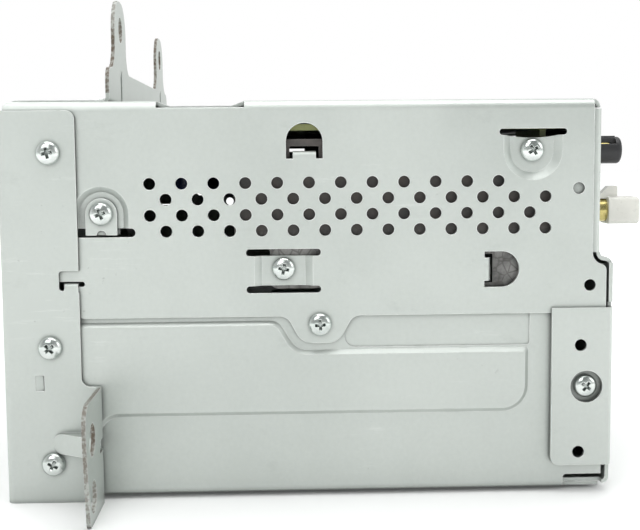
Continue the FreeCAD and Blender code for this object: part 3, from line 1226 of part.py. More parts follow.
def lead_screw():
    """Screw that feeds the pickup, with one long helical ridge."""
    start, end = -67.0, -13.0
    core = rod("y", (LEAD_X, LEAD_Z), LEAD_R, start - 0.8, end + 1.0)
    ends = rod("y", (LEAD_X, LEAD_Z), 1.0, -69.8, -9.0)
    length = end - start
    helix = Part.makeHelix(LEAD_PITCH, length, LEAD_R)
    r = LEAD_R
    rise = LEAD_RIDGE
    tri = Part.makePolygon([V(r - 0.3, 0, -0.5), V(r + rise, 0, -0.2), V(r + rise, 0, 0.2),
                            V(r - 0.3, 0, 0.5),
                            V(r - 0.3, 0, -0.5)])
    ridge = Part.Wire(helix.Edges).makePipeShell([tri], True, True)
    # a groove, not the ridge, must face the follower's tooth
    turns = (-LENS_START - start) / LEAD_PITCH
    facing = 360.0 * (turns % 1.0)
    ridge = turned(ridge, V(0, 0, 0), V(1, 0, 0), -90)
    ridge = turned(ridge, V(0, 0, 0), V(0, 1, 0), -facing)
    ridge = moved(ridge, LEAD_X, start, LEAD_Z)
    return core.fuse(ends).fuse(ridge)


def feed_motor():
    """Small can motor on the end of the lead screw."""
    body = rod("y", (LEAD_X, LEAD_Z), 5.3, -10.0, 10.0)
    edges = [e for e in body.Edges if len(e.Vertexes) == 1 and e.BoundBox.YMin > 9]
    body = body.makeFillet(0.8, edges)
    body = body.fuse(rod("y", (LEAD_X, LEAD_Z), 4.0, 9.5, 11.5))
    return body.cut(rod("y", (LEAD_X, LEAD_Z), 1.0 + FIT, -11, -8.5))


def dampers():
    """Four soft cups on the case floor that the deck's pins sit in."""
    cups = []
    for x in DAMPER_X:
        for y in (-DAMPER_Y, DAMPER_Y):
            cup = rod("z", (x, y), 5.4, CASE_FLOOR, 9.2).fuse(rod("z", (x, y), 8.2, CASE_FLOOR, 2.6))
            cups.append(cup.cut(rod("z", (x, y), 1.8 + 0.5, 4.4, 10)).removeSplitter())
    return group(cups)


def float_springs():
    """Four springs that carry the deck round its dampers."""
    return group([coil("z", (x, y), 6.7, 0.4, 3.05, DECK_FLOOR - 0.42, 4)
                  for x in DAMPER_X for y in (-DAMPER_Y, DAMPER_Y)])


def deck_board():
    """Circuit board under the deck floor, with its chips."""
    z = DECK_BOARD_Z
    board = prism([(34.0, -52.0, 3), (128.0, -52.0, 3), (128.0, 52.0, 3), (34.0, 52.0, 3)], "xy", z,
                  z + BOARD_T)
    for x, y in ((44, -44), (44, 44), (108, -44), (108, 44)):
        board = board.fuse(rod("z", (x, y), 2.6, z + 1, DECK_FLOOR))
    return board


def deck_chips():
    """Chips on the underside of the deck board."""
    z = DECK_BOARD_Z
    chips = []
    for x, y, w, d in ((80, 0, 14, 14), (58, 24, 10, 8), (104, -24, 12, 6), (60, -26, 8, 8)):
        chips.append(box(x - w / 2, x + w / 2, y - d / 2, y + d / 2, z - 1.4, z))
    return group(chips)


# Electronics

BOARD_FRONT = 3.4
BOARD_REAR = 149.0
BOARD_HALF = 84.4


def main_board():
    """Large circuit board under the top."""
    z = MAIN_BOARD_Z
    half = BOARD_HALF
    board = prism([(BOARD_FRONT, -half, 2), (BOARD_REAR, -half, 2), (BOARD_REAR, half, 2),
                   (BOARD_FRONT, half, 2)],
                  "xy", z, z + BOARD_T)
    for x, y in BOARD_SCREWS:
        board = board.cut(rod("z", (x, y), 1.7, z - 1, z + BOARD_T + 1))
    return board


BRACKET_Y = 86.7            # outside of a side bracket
BOARD_SCREWS = [(25.4, -80.5), (25.4, 80.5), (120.2, -82.0), (120.2, 82.0)]
SINK_Y = 86.5               # outside of a heat-sink plate
SINK_T = 2.0


def board_brackets():
    """Side brackets under the board, whose tabs come out through the chassis."""
    tab_x, tab_z = TAB_SCREW
    brackets = []
    outer = -BRACKET_Y
    inner = outer + SHEET
    tab_out = -CHASSIS_HALF_WIDTH + POCKET_DEPTH
    foot = 68.3
    for mirrored in (False, True):
        plate = prism([(tab_x - 9.0, foot, 1), (tab_x + 9.0, foot, 1), (tab_x + 9.0, MAIN_BOARD_Z),
                       (tab_x - 9.0, MAIN_BOARD_Z)],
                      "xz", outer, inner)
        for x0, x1 in ((tab_x - 10.0, tab_x - TAB_HALF - 0.4), (tab_x + TAB_HALF + 0.4, tab_x + 10.0)):
            plate = plate.cut(box(x0, x1, outer - 1, inner + 1, foot - 1, 70.8))
        lip = prism([(tab_x - 7.0, outer), (tab_x + 7.0, outer), (tab_x + 7.0, outer + 11.0, 3),
                     (tab_x - 7.0, outer + 11.0, 3)],
                    "xy", MAIN_BOARD_Z - SHEET, MAIN_BOARD_Z)
        lip = lip.cut(rod("z", (tab_x, BOARD_SCREWS[0][1]), SCREW_R, 90, 100))
        step = box(tab_x - TAB_HALF, tab_x + TAB_HALF, tab_out - SHEET, inner, foot, foot + SHEET)
        tab = prism(arch(tab_x, TAB_HALF, foot, tab_z + TAB_HALF), "xz", tab_out - SHEET, tab_out)
        bracket = plate.fuse(lip).fuse(step).fuse(tab)
        bracket = bracket.cut(hole_y(tab_x, foot, 1.2, tab_out - 1.5, tab_out - 0.3))
        bracket = bracket.cut(hole_y(tab_x, tab_z, SCREW_HOLE_R, -90, -80))
        bracket = mirror(bracket) if mirrored else bracket
        brackets.append(bracket.removeSplitter())
    return group(brackets)


def heat_sinks():
    """Plates against the chassis sides, which the power chips are fixed to."""
    plates = []
    y0, y1 = -SINK_Y, -SINK_Y + SINK_T
    for mirrored in (False, True):
        plate = prism([(58.6, 65.0, 0.5), (67.6, 65.0, 2), (67.6, 54.0, 2), (147.0, 54.0, 2),
                       (147.0, 91.0, 1),
                       (126.0, 91.0), (124.8, 92.0), (58.6, 92.0, 1)],
                      "xz", y0, y1)
        plate = plate.cut(box(72.8, 80.2, y0 - 1, y1 + 1, 86.8, 90.2))
        plate = plate.cut(box(121.0, 124.6, y0 - 1, y1 + 1, 55.0, 62.4))
        foot = prism([(115.6, y0, 1), (124.8, y0, 1), (124.8, y0 + 7.5, 2), (115.6, y0 + 7.5, 2)], "xy",
                     91.2, MAIN_BOARD_Z)
        foot = foot.cut(rod("z", BOARD_SCREWS[2], SCREW_R, 89, 96))
        plate = plate.fuse(foot)
        for x, z in (BRIDGE_SCREW, CUP_SCREW):
            plate = plate.cut(hole_y(x, z, SCREW_R, y0 - 1, y1 + 1))
        plate = mirror(plate) if mirrored else plate
        plates.append(plate.removeSplitter())
    return group(plates)


def power_chips():
    """Amplifier on one heat sink and regulator on the other."""
    y0 = -SINK_Y + SINK_T
    amp = prism([(88.0, 69.0, 1), (114.0, 69.0, 1), (114.0, 86.0, 1), (88.0, 86.0, 1)], "xz", y0, y0 + 4.6)
    legs = [box(89.0 + 2.0 * i, 89.7 + 2.0 * i, y0 + 1.6, y0 + 2.1, 85.5, MAIN_BOARD_Z) for i in range(12)]
    amp = fuse(amp, *legs)
    reg = mirror(prism([(92.0, 72.0, 1), (108.0, 72.0, 1), (108.0, 86.0, 1), (92.0, 86.0, 1)], "xz", y0,
                       y0 + 4.4))
    legs = [mirror(box(94.0 + 4.0 * i, 94.8 + 4.0 * i, y0 + 1.6, y0 + 2.1, 85.5,
                       MAIN_BOARD_Z)) for i in range(4)]
    return group([amp, fuse(reg, *legs)])


CAPACITORS = [(66.0, -66.0, 6.3, 22.0), (66.0, -50.0, 5.0, 16.0), (46.0, -70.0, 5.0, 16.0),
              (48.0, 62.0, 6.3, 22.0),
              (66.0, 66.0, 5.0, 16.0)]


def capacitors():
    """Round capacitors hanging from the main board."""
    cans = []
    for x, y, r, h in CAPACITORS:
        can = rod("z", (x, y), r, MAIN_BOARD_Z - h, MAIN_BOARD_Z)
        low = [e for e in can.Edges if len(e.Vertexes) == 1 and e.BoundBox.ZMax < MAIN_BOARD_Z - 1]
        can = can.makeFillet(0.6, low)
        z = MAIN_BOARD_Z - 3.0
        can = can.cut(tube("z", (x, y), r + 1, r - 0.4, z - 0.5, z + 0.5))
        cans.append(can)
    return group(cans)


def power_choke():
    """Ring-shaped choke in the supply line."""
    ring = Part.makeTorus(7.0, 3.4, V(96.0, 62.0, MAIN_BOARD_Z - 4.4))
    base = rod("z", (96.0, 62.0), 9.5, MAIN_BOARD_Z - 1.8, MAIN_BOARD_Z)
    return fuse(ring.common(box(70, 120, 40, 90, 80, MAIN_BOARD_Z)), base)


def processors():
    """Flat chips on the underside of the main board."""
    z = MAIN_BOARD_Z
    chips = []
    for x, y, w, d in ((40, 0, 22, 22), (78, 6, 18, 18), (112, 10, 14, 20), (24, 44, 10, 10),
                       (84, -30, 12, 8), (30, -36, 14, 8)):
        chips.append(box(x - w / 2, x + w / 2, y - d / 2, y + d / 2, z - 2.0, z))
    return group(chips)


def front_connector():
    """Socket behind the window in the front, for a control panel."""
    y0, y1 = PANEL_SOCKET_Y[0] + 0.3, PANEL_SOCKET_Y[1] - 0.3
    z0, z1 = PANEL_SOCKET_Z[0] + 0.3, PANEL_SOCKET_Z[1] - 0.3
    body = box(-0.6, 12.0, y0, y1, z0, z1).fuse(box(1.2, 12.0, y0 - 2, y1 + 2, z0 - 0.2, MAIN_BOARD_Z))
    return body.cut(box(-2.0, 9.0, y0 + 1.2, y1 - 1.2, z0 + 1.2, z1 - 1.2)).removeSplitter()


def front_contacts():
    """Row of contacts in the front socket."""
    pins = []
    z = (PANEL_SOCKET_Z[0] + PANEL_SOCKET_Z[1]) / 2.0
    for row in (-1.4, 1.4):
        for i in range(13):
            y = -16.2 + 2.7 * i
            pins.append(box(3.0, 9.0, y - 0.32, y + 0.32, z + row - 0.32, z + row + 0.32))
    return group(pins)


def tuner_board():
    """Upright board that carries the tuner and both coaxial sockets."""
    return box(138.4, 140.0, -78.0, -48.0, 60.0, MAIN_BOARD_Z)


def tuner_can():
    """Screening can of the tuner."""
    can = prism([(-76.5, 62.0, 1), (-50.0, 62.0, 1), (-50.0, 92.0, 1), (-76.5, 92.0, 1)], "yz", 117.0,
                138.4)
    rim = prism([(-73.5, 65.0, 1), (-53.0, 65.0, 1), (-53.0, 89.0, 1), (-73.5, 89.0, 1)], "yz", 116.0,
                117.4)
    return can.fuse(rim).cut(box(137.0, 139.0, -75.5, -51.0, 63.0, 91.0)).removeSplitter()


def antenna_socket():
    """Black coaxial socket, upper one."""
    y, z = SOCKET_Y, BLACK_SOCKET_Z
    r = BLACK_SOCKET_R
    base = prism([(y - 7.0, z - 6.0, 1), (y + 7.0, z - 6.0, 1), (y + 7.0, z + 5.2, 1),
                  (y - 7.0, z + 5.2, 1)], "yz", 140.0, 150.6)
    barrel = rod("x", (y, z), r, 149.0, BLACK_SOCKET_END)
    end = [e for e in barrel.Edges if len(e.Vertexes) == 1 and e.BoundBox.XMin > BLACK_SOCKET_END - 0.1]
    barrel = barrel.makeFillet(0.9, end)
    key = box(150.0, BLACK_SOCKET_END - 1.5, y - 0.9, y + 0.9, z + r - 0.5, z + r + 0.25)
    body = fuse(base, barrel, key)
    body = body.cut(rod("x", (y, z), r - 1.1, 146.0, 170.0)).cut(rod("x", (y, z), 0.6, 139.0, 147.0))
    groove = box(154.0, BLACK_SOCKET_END - 1.7, y - 3.2, y - 1.6, z + 1.6, z + 4.0)
    return body.cut(groove)


def antenna_contact():
    """Centre contact and sleeve of the upper socket."""
    y, z = SOCKET_Y, BLACK_SOCKET_Z
    sleeve = tube("x", (y, z), BLACK_SOCKET_R - 1.1, BLACK_SOCKET_R - 1.5, 146.0, 160.5)
    return group([sleeve, rod("x", (y, z), 0.6, 140.0, 158.0)])


def coax_socket():
    """White housing of the lower socket with its latch."""
    y, z = SOCKET_Y, WHITE_SOCKET_Z
    base = prism([(y - 5.2, z - 5.0, 1), (y + 5.2, z - 5.0, 1), (y + 5.2, z + 5.0, 1),
                  (y - 5.2, z + 5.0, 1)], "yz", 140.0, 152.6)
    hood = prism([(y - 4.2, z - 3.7, 1), (y + 4.2, z - 3.7, 1), (y + 4.2, z + 3.7, 1.4),
                  (y - 4.2, z + 3.7, 1.4)], "yz", 160.0, WHITE_SOCKET_END)
    hood = hood.common(prism([(159.0, z - 4), (WHITE_SOCKET_END, z - 4, 1.6),
                              (WHITE_SOCKET_END, z + 4, 1.6), (159.0, z + 4)],
                             "xz", y - 6, y + 6))
    spine = box(151.0, 161.0, y - 1.6, y + 1.6, z + 3.15, z + 4.6)
    hook = prism([(158.6, z + 3.4), (163.0, z + 3.4), (163.0, z + 6.6, 0.4), (160.6, z + 6.6, 0.8),
                  (158.6, z + 4.6)], "xz", y - 1.6, y + 1.6)
    body = fuse(base, hood, spine, hook)
    return body.cut(rod("x", (y, z), 3.15, 150.0, 170.0)).cut(rod("x", (y, z), 2.0, 139.0, 151.0))


def coax_shell():
    """Brass outer contact of the lower socket."""
    return tube("x", (SOCKET_Y, WHITE_SOCKET_Z), 3.15, 2.55, 150.0, 166.8)


def coax_contact():
    """Centre contact and insulator of the lower socket."""
    at = (SOCKET_Y, WHITE_SOCKET_Z)
    return fuse(rod("x", at, 2.0, 140.0, 151.0), rod("x", at, 2.55, 150.0, 154.0),
                rod("x", at, 0.55, 150.0, 164.5))


def harness_socket():
    """Multi-way socket for the car's harness."""
    y0, y1 = HARNESS_Y
    z0, z1 = HARNESS_Z
    shell = box(136.0, 156.0, y0, y1, z0, z1)
    shell = shell.cut(box(141.0, 158.0, y0 + 1.4, y1 - 1.4, z0 + 1.4, z1 - 1.6))
    shell = shell.cut(box(141.0, 158.0, (y0 + y1) / 2.0 - 3.0, (y0 + y1) / 2.0 + 3.0, z1 - 2.0, z1 + 1.0))
    ears = prism([(3.0, z0 + 1.0, 2), (67.0, z0 + 1.0, 2), (67.0, z1 - 1.0, 2), (3.0, z1 - 1.0, 2)], "yz",
                 REAR_UPPER - SHEET - 3.0, REAR_UPPER - SHEET)
    ears = ears.cut(box(140.0, 158.0, y0 + 0.5, y1 - 0.5, z0 - 1, z1 + 1))
    body = shell.fuse(ears)
    for y, z in REAR_FACE_SCREWS:
        body = body.cut(rod("x", (y, z), SCREW_R, 140.0, 160.0))
    return body.removeSplitter()


def harness_pins():
    """Two rows of blade contacts."""
    pins = []
    middle = (HARNESS_Z[0] + HARNESS_Z[1]) / 2.0
    for row in (-2.6, 2.6):
        for i in range(10):
            y = HARNESS_Y[0] + 5.0 + 4.0 * i
            pins.append(box(141.0, 151.0, y - 0.7, y + 0.7, middle + row - 0.35, middle + row + 0.35))
    return group(pins)


def ribbon_cable():
    """Flat cable from the deck to the main board."""
    thin = 0.3
    points = [(20.0, 52.0), (21.5, 60.0), (19.0, 72.0), (20.0, 88.4)]
    line = [(20.0, DECK_TOP + 4.4), *points]
    front = [(x - thin / 2.0, z) for x, z in line]
    back = [(x + thin / 2.0, z) for x, z in reversed(line)]
    return prism(front + back, "xz", -8.0, 8.0)


def cable_sockets():
    """Low sockets that take the flat cable's upper end."""
    upper = box(17.5, 22.5, -11.0, 11.0, 88.4, MAIN_BOARD_Z)
    return upper


def deck_socket():
    """Socket on the deck cover for the flat cable."""
    return box(17.5, 22.5, -11.0, 11.0, DECK_TOP + 1, DECK_TOP + 4.4)


def slot_guide():
    """Plastic frame behind the disc slot."""
    half_y, half_z = SLOT_WIDTH / 2.0, SLOT_HEIGHT / 2.0
    body = prism([(-half_y - 7, DISC_Z - 7.5, 2), (half_y + 7, DISC_Z - 7.5, 2),
                  (half_y + 7, DISC_Z + 5.6, 2), (-half_y - 7, DISC_Z + 5.6, 2)],
                 "yz", SHEET, 4.0)
    collar = prism([(-half_y - 3.1, DISC_Z - half_z - 1.3, 2.6), (half_y + 3.1, DISC_Z - half_z - 1.3, 2.6),
                    (half_y + 3.1, DISC_Z + half_z + 1.3, 2.6), (-half_y - 3.1, DISC_Z + half_z + 1.3,
                                                                 2.6)],
                   "yz", 0.0, 9.6)
    body = body.fuse(collar)
    hole = prism([(-half_y, DISC_Z - half_z), (half_y, DISC_Z - half_z), (half_y, DISC_Z + half_z),
                  (-half_y, DISC_Z + half_z)],
                 "yz", -1, 11)
    flare = Part.makeLoft([grown([(-half_y, DISC_Z - half_z), (half_y, DISC_Z - half_z),
                                  (half_y, DISC_Z + half_z),
                                  (-half_y, DISC_Z + half_z)], "yz", -0.01, 0.9),
                           grown([(-half_y, DISC_Z - half_z), (half_y, DISC_Z - half_z),
                                  (half_y, DISC_Z + half_z),
                                  (-half_y, DISC_Z + half_z)], "yz", 1.4, 0.01)], True, True)
    return body.cut(hole).cut(flare).removeSplitter()


def slot_felts():
    """Felt strips that line the slot."""
    half_y, half_z = SLOT_WIDTH / 2.0, SLOT_HEIGHT / 2.0
    low = box(2.0, 7.0, -half_y + 0.5, half_y - 0.5, DISC_Z - half_z, DISC_Z - half_z + 0.4)
    high = box(2.0, 7.0, -half_y + 0.5, half_y - 0.5, DISC_Z + half_z - 0.4, DISC_Z + half_z)
    return group([low, high])


def case_screws():
    """The same screw at every place on both sides, the top, the rear and the main board."""
    screws = []
    spins = [12, 40, 65, 20, 80, 33, 5, 52]
    tab_seat = CHASSIS_HALF_WIDTH - POCKET_DEPTH + SHEET
    cup_seat = CHASSIS_HALF_WIDTH - CUP_DEPTH
    places = [(FLANGE_SCREWS[0], FLANGE_OUT), (FLANGE_SCREWS[1], FLANGE_OUT), (FLANGE_SCREWS[2], FLANGE_OUT),
              (TAB_SCREW, tab_seat), (BRIDGE_SCREW, cup_seat), (CUP_SCREW, cup_seat),
              (TONGUE_SCREW, CHASSIS_HALF_WIDTH), (REAR_SCREW, CASE_OUT)]
    for (at, seat), spin in zip(places, spins):
        one = side_screw(at[0], at[1], seat, spin)
        screws.append(one)
        screws.append(mirror(one))
    for y in (-TOP_SCREW_Y, TOP_SCREW_Y):
        screws.append(top_screw(TOP_SCREW_X, y, CHASSIS_TOP + SHEET, SCREW_LENGTH))
    for y, z in REAR_FACE_SCREWS:
        screws.append(rear_screw_y(y, z))
    for x, y in BOARD_SCREWS:
        screws.append(top_screw(x, y, MAIN_BOARD_Z + BOARD_T, SCREW_LENGTH))
    return group(screws)


def build():
    """Every piece by node name."""
    cover_y = DECK_HALF - 4.5
    nodes = {
        "front_panel": front_panel(),
        "upper_chassis": upper_chassis(),
        "lower_case": lower_case(),
        "rear_panel": rear_panel(),
        "slot_guide": slot_guide(),
        "slot_felts": slot_felts(),
        "case_screws": case_screws(),
        "board_brackets": board_brackets(),
        "heat_sinks": heat_sinks(),
        "power_chips": power_chips(),
        "main_board": main_board(),
        "capacitors": capacitors(),
        "power_choke": power_choke(),
        "processors": processors(),
        "front_connector": front_connector(),
        "front_contacts": front_contacts(),
        "tuner_board": tuner_board(),
        "tuner_can": tuner_can(),
        "antenna_socket": antenna_socket(),
        "antenna_contact": antenna_contact(),
        "coax_socket": coax_socket(),
        "coax_shell": coax_shell(),
        "coax_contact": coax_contact(),
        "harness_socket": harness_socket(),
        "harness_pins": harness_pins(),
        "cable_socket": cable_sockets(),
        "ribbon_cable": ribbon_cable(),
        "dampers": dampers(),
        "float_springs": float_springs(),
        "deck_frame": deck_frame(),
        "deck_cover": deck_cover(),
        "deck_socket": deck_socket(),
        "deck_screws": group([top_screw(x, y, DECK_TOP + 1, 2.0) for x in (22.0, 126.0) for y in (-cover_y,
                cover_y)]),
        "deck_board": deck_board(),
        "deck_chips": deck_chips(),
        "disc_guides": disc_guides(),
        "disc_lever_left": disc_lever(-1),
        "disc_lever_right": disc_lever(1),
        "roller_arm": roller_arm(),
        "roller_shaft": roller_shaft(),
        "rubber_rollers": rubber_rollers(),
        "roller_gear": roller_gear(),
        "idler_gear": idler_gear(),
        "compound_gear": compound_gear(),
        "gear_clip": gear_clips(),
        "motor_pinion": motor_pinion(),
        "loading_motor": loading_motor(),
        "shift_slider": shift_slider(),
        "clamp_arm": clamp_arm(),
        "clamp_shaft": clamp_shaft(),
        "clamp_springs": clamp_spring(),
        "clamper": clamper(),
        "traverse_plate": traverse_plate(),
        "guide_rods": guide_rods(),
        "pickup_sled": pickup_sled(),
        "objective_lens": objective_lens(),
        "spindle_motor": spindle_motor(),
    }
    nodes["turntable"] = turntable()
    nodes["lead_screw"] = lead_screw()
    nodes["feed_motor"] = feed_motor()
    return nodes


def export():
    """Write every node, moved so that the origin is under the middle of the unit."""
    os.makedirs("parts", exist_ok=True)
    for name, shape in build().items():
        shape.translate(V(-X_MIDDLE, 0, 0))
        shape.exportStep("parts/" + name + ".step")


export()
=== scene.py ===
"""Car CD player: plain double-height metal unit, dressed for pictures.

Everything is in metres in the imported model's frame: x runs from the front plate to the
rear sockets, y across the unit, z up from the surface it stands on. The photograph
looks at the side at negative y.
"""

import json
import math

import bpy
from mathutils import Matrix, Vector


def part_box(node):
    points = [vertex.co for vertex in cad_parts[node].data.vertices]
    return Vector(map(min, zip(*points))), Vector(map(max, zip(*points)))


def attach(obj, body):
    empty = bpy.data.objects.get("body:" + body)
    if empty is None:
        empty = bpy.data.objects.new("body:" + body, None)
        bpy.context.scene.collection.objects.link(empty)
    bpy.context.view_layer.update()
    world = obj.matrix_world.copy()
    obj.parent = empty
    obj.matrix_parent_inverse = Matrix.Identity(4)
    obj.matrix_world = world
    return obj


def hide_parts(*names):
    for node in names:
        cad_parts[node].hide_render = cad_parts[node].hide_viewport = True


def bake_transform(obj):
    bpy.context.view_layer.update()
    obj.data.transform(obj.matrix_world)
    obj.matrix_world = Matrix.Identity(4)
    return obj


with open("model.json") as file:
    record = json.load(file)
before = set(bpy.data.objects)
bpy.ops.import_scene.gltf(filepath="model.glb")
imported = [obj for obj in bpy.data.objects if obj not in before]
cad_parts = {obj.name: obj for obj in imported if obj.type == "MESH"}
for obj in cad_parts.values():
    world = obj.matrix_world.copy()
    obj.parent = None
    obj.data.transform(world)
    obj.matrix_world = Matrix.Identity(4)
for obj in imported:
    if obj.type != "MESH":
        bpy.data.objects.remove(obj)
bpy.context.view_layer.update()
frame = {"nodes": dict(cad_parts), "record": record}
NODES = frame["nodes"]
MM = 0.001


# Folded sheet of the front panel, whose raw edges are coloured

SHEET = 1.0 * MM
LOWER_EAR_FRONT = -60.6 * MM
LOWER_EAR_ROOT = 91.2 * MM          # from the middle: where the ear's bend ends
UPRIGHT_FRONT = -59.1 * MM
UPRIGHT_TOP = 111.5 * MM
SLOPE_OUT = 60.0 * MM               # from the middle: the slope outside an upper ear
SLOPE_FOOT = 104.5 * MM
EAR_MARGIN = 0.15 * MM              # how far past a face its colour reaches
FLANGE_END = -64.6 * MM
FLANGE_IN = 88.0 * MM
FLANGE_MARGIN = 0.2 * MM

# Heat sinks: painted light up to one height, painted shade from another

SINK_LIT_TOP = 64.0 * MM
SINK_SHADED_FOOT = 70.0 * MM

# Flat cable: radians of the stripe pattern in a metre, which makes one conductor a millimetre

CONDUCTOR_WAVES = 6283.0

# Case screw, in millimetres from its seat; the crown is radius and height, ring by ring

HEAD_R = 2.95
HEAD_FLANK = 0.8
CROWN = [
    (2.93, 0.97), (2.84, 1.18), (2.66, 1.42), (2.36, 1.66),
    (1.95, 1.86), (1.40, 2.01), (0.70, 2.08), (0.15, 2.10),
]
SHANK_R = 1.45
THREAD_ROOT_R = 1.18
SHANK = 4.0
THREAD_STEPS = 16
SCREW_TIP = 0.8
RECESS_LENGTH = 3.5
RECESS_WIDTH = 0.86
RECESS_FLOOR = 0.9
RECESS_OPEN = 2.6
RECESS_TAPER_ALONG = 0.45
RECESS_TAPER_ACROSS = 0.70

# Places of the case screws, in millimetres: x, z, seat from the middle, and turn in degrees

SIDE_SCREWS = [
    (-71.3, 89.0, 90.0, 12),
    (-72.2, 40.1, 90.0, 40),
    (-72.2, 10.2, 90.0, 65),
    (-58.8, 73.7, 88.8, 20),
    (-13.2, 59.3, 87.5, 80),
    (50.1, 88.8, 87.5, 33),
    (-4.1, 45.1, 89.0, 5),
    (64.3, 28.1, 88.0, 52),
]
TOP_SCREW_X = -65.5
TOP_SCREW_Y = 40.0
TOP_SEAT = 102.7
REAR_SEAT = 67.9
REAR_SCREW_Y = (7.0, 63.0)
REAR_SCREW_Z = 86.2
BOARD_SCREWS = ((-58.8, 80.5), (36.0, 82.0))
BOARD_SEAT = 95.8

# Felt strips of the slot

FELT_THICK = 0.4 * MM
FELT_SHARE = 0.86                   # share of the thickness that is solid below the tufts
FELT_CUTS = 40
TUFT_SIZE = 1.1 * MM
TUFT_HEIGHT = 0.05 * MM

# Float springs

SPRING_WIRE_R = 0.4 * MM
SPRING_COIL_R = 6.7 * MM
SPRING_TURNS = 4
SPRING_FOOT = 3.05 * MM
SPRING_HEAD = 11.58 * MM
SPRING_X = (-58.2 * MM, 49.8 * MM)
SPRING_Y = (-64.0 * MM, 64.0 * MM)

# Room and light: each lamp's name, place, size and power

FLOOR_SIZE = 8.0
FLOOR_GLOW = 0.55
SKY_BRIGHT_WAY = (0.04, 0.64, -0.77)
SKY_STOPS = [(0.06, (0.30, 0.315, 0.31)), (0.24, (0.62, 0.64, 0.63)), (0.46, (1.0, 1.0, 1.0))]
LAMP_AIM = Vector((0.0, 0.0, 0.05))
LAMPS = [
    ("top_softbox", (0.05, -0.15, 1.2), 0.9, 9.0),
    ("front_softbox", (-0.45, -1.1, 0.9), 0.7, 5.0),
    ("right_fill", (1.1, -0.6, 0.6), 0.7, 2.5),
    ("rear_fill", (-0.6, 1.1, 0.9), 0.8, 4.0),
]

# Camera of the photograph

CAMERA_PLACE = (-0.01358, -0.37151, 0.08858)
CAMERA_YAW = math.radians(1.943)
CAMERA_PITCH = math.radians(5.726)
CAMERA_ROLL = -0.00819
CAMERA_LENS = 63.09
CAMERA_SENSOR = 36.0
CAMERA_NEAR = 0.01

# Colours that several finishes share, that mark wear, or that paint shade and highlights

RUBBED_ZINC = (0.78, 0.80, 0.78)
BARE_AND_HIGHLIT_RIM = (0.95, 0.96, 0.95)
PAINTED_SHADE = (0.045, 0.048, 0.046)
BROWN_EDGE = (0.125, 0.095, 0.070)
SHADED_EDGE = (0.07, 0.065, 0.055)
PAINTED_HOLLOW_SHADE = (0.10, 0.12, 0.11)


# Shader wiring

class Wire:
    """A socket that takes part in sums, so that a mask reads like arithmetic."""

    def __init__(self, nodes, socket):
        self.nodes = nodes
        self.socket = socket

    def _maths(self, operation, first, second, clamp=False):
        settings = {"operation": operation, "use_clamp": clamp}
        return self.nodes.add("ShaderNodeMath", settings, {0: first, 1: second})

    def __add__(self, other):
        return self._maths("ADD", self, other)

    def __radd__(self, other):
        return self._maths("ADD", other, self)

    def __sub__(self, other):
        return self._maths("SUBTRACT", self, other)

    def __rsub__(self, other):
        return self._maths("SUBTRACT", other, self)

    def __mul__(self, other):
        return self._maths("MULTIPLY", self, other)

    def __rmul__(self, other):
        return self._maths("MULTIPLY", other, self)

    def __gt__(self, other):
        return self._maths("GREATER_THAN", self, other)

    def __lt__(self, other):
        return self._maths("LESS_THAN", self, other)

    def within(self, low, high):
        """One between two values, nought outside them."""
        return (self > low) * (self < high)

    def size(self):
        return self._maths("ABSOLUTE", self, 0.0)

    def clamped(self):
        return self._maths("MULTIPLY", self, 1.0, True)

    def most(self, other):
        return self._maths("MAXIMUM", self, other)


class Nodes:
    """A tree of nodes, with short calls that add to it."""

    def __init__(self, tree):
        self.tree = tree

    def add(self, kind, settings, inputs, output=0):
        """Any node: its settings first, then the values or links of its sockets."""
        node = self.tree.nodes.new(kind)
        for key, value in settings.items():
            if key == "stops":
                self._stops(node.color_ramp, value)
            else:
                setattr(node, key, value)
        for key, value in inputs.items():
            self.feed(node.inputs[key], value)
        return Wire(self, node.outputs[output])

    def _stops(self, ramp, stops):
        while len(ramp.elements) < len(stops):
            ramp.elements.new(0.5)
        for element, (where, colour) in zip(ramp.elements, stops):
            element.position = where
            element.color = (*colour, 1.0)

    def feed(self, socket, value):
        """Link a wire to a socket, or set the socket's own value."""
        if isinstance(value, Wire):
            self.tree.links.new(value.socket, socket)
        elif socket.type == "RGBA":
            socket.default_value = (*value, 1.0)
        else:
            socket.default_value = value

    def between(self, value, low, high, to_low=0.0, to_high=1.0):
        """Part of a range stretched to another range, and kept inside it."""
        ends = {"From Min": low, "From Max": high, "To Min": to_low, "To Max": to_high}
        return self.add("ShaderNodeMapRange", {"clamp": True}, {"Value": value, **ends})


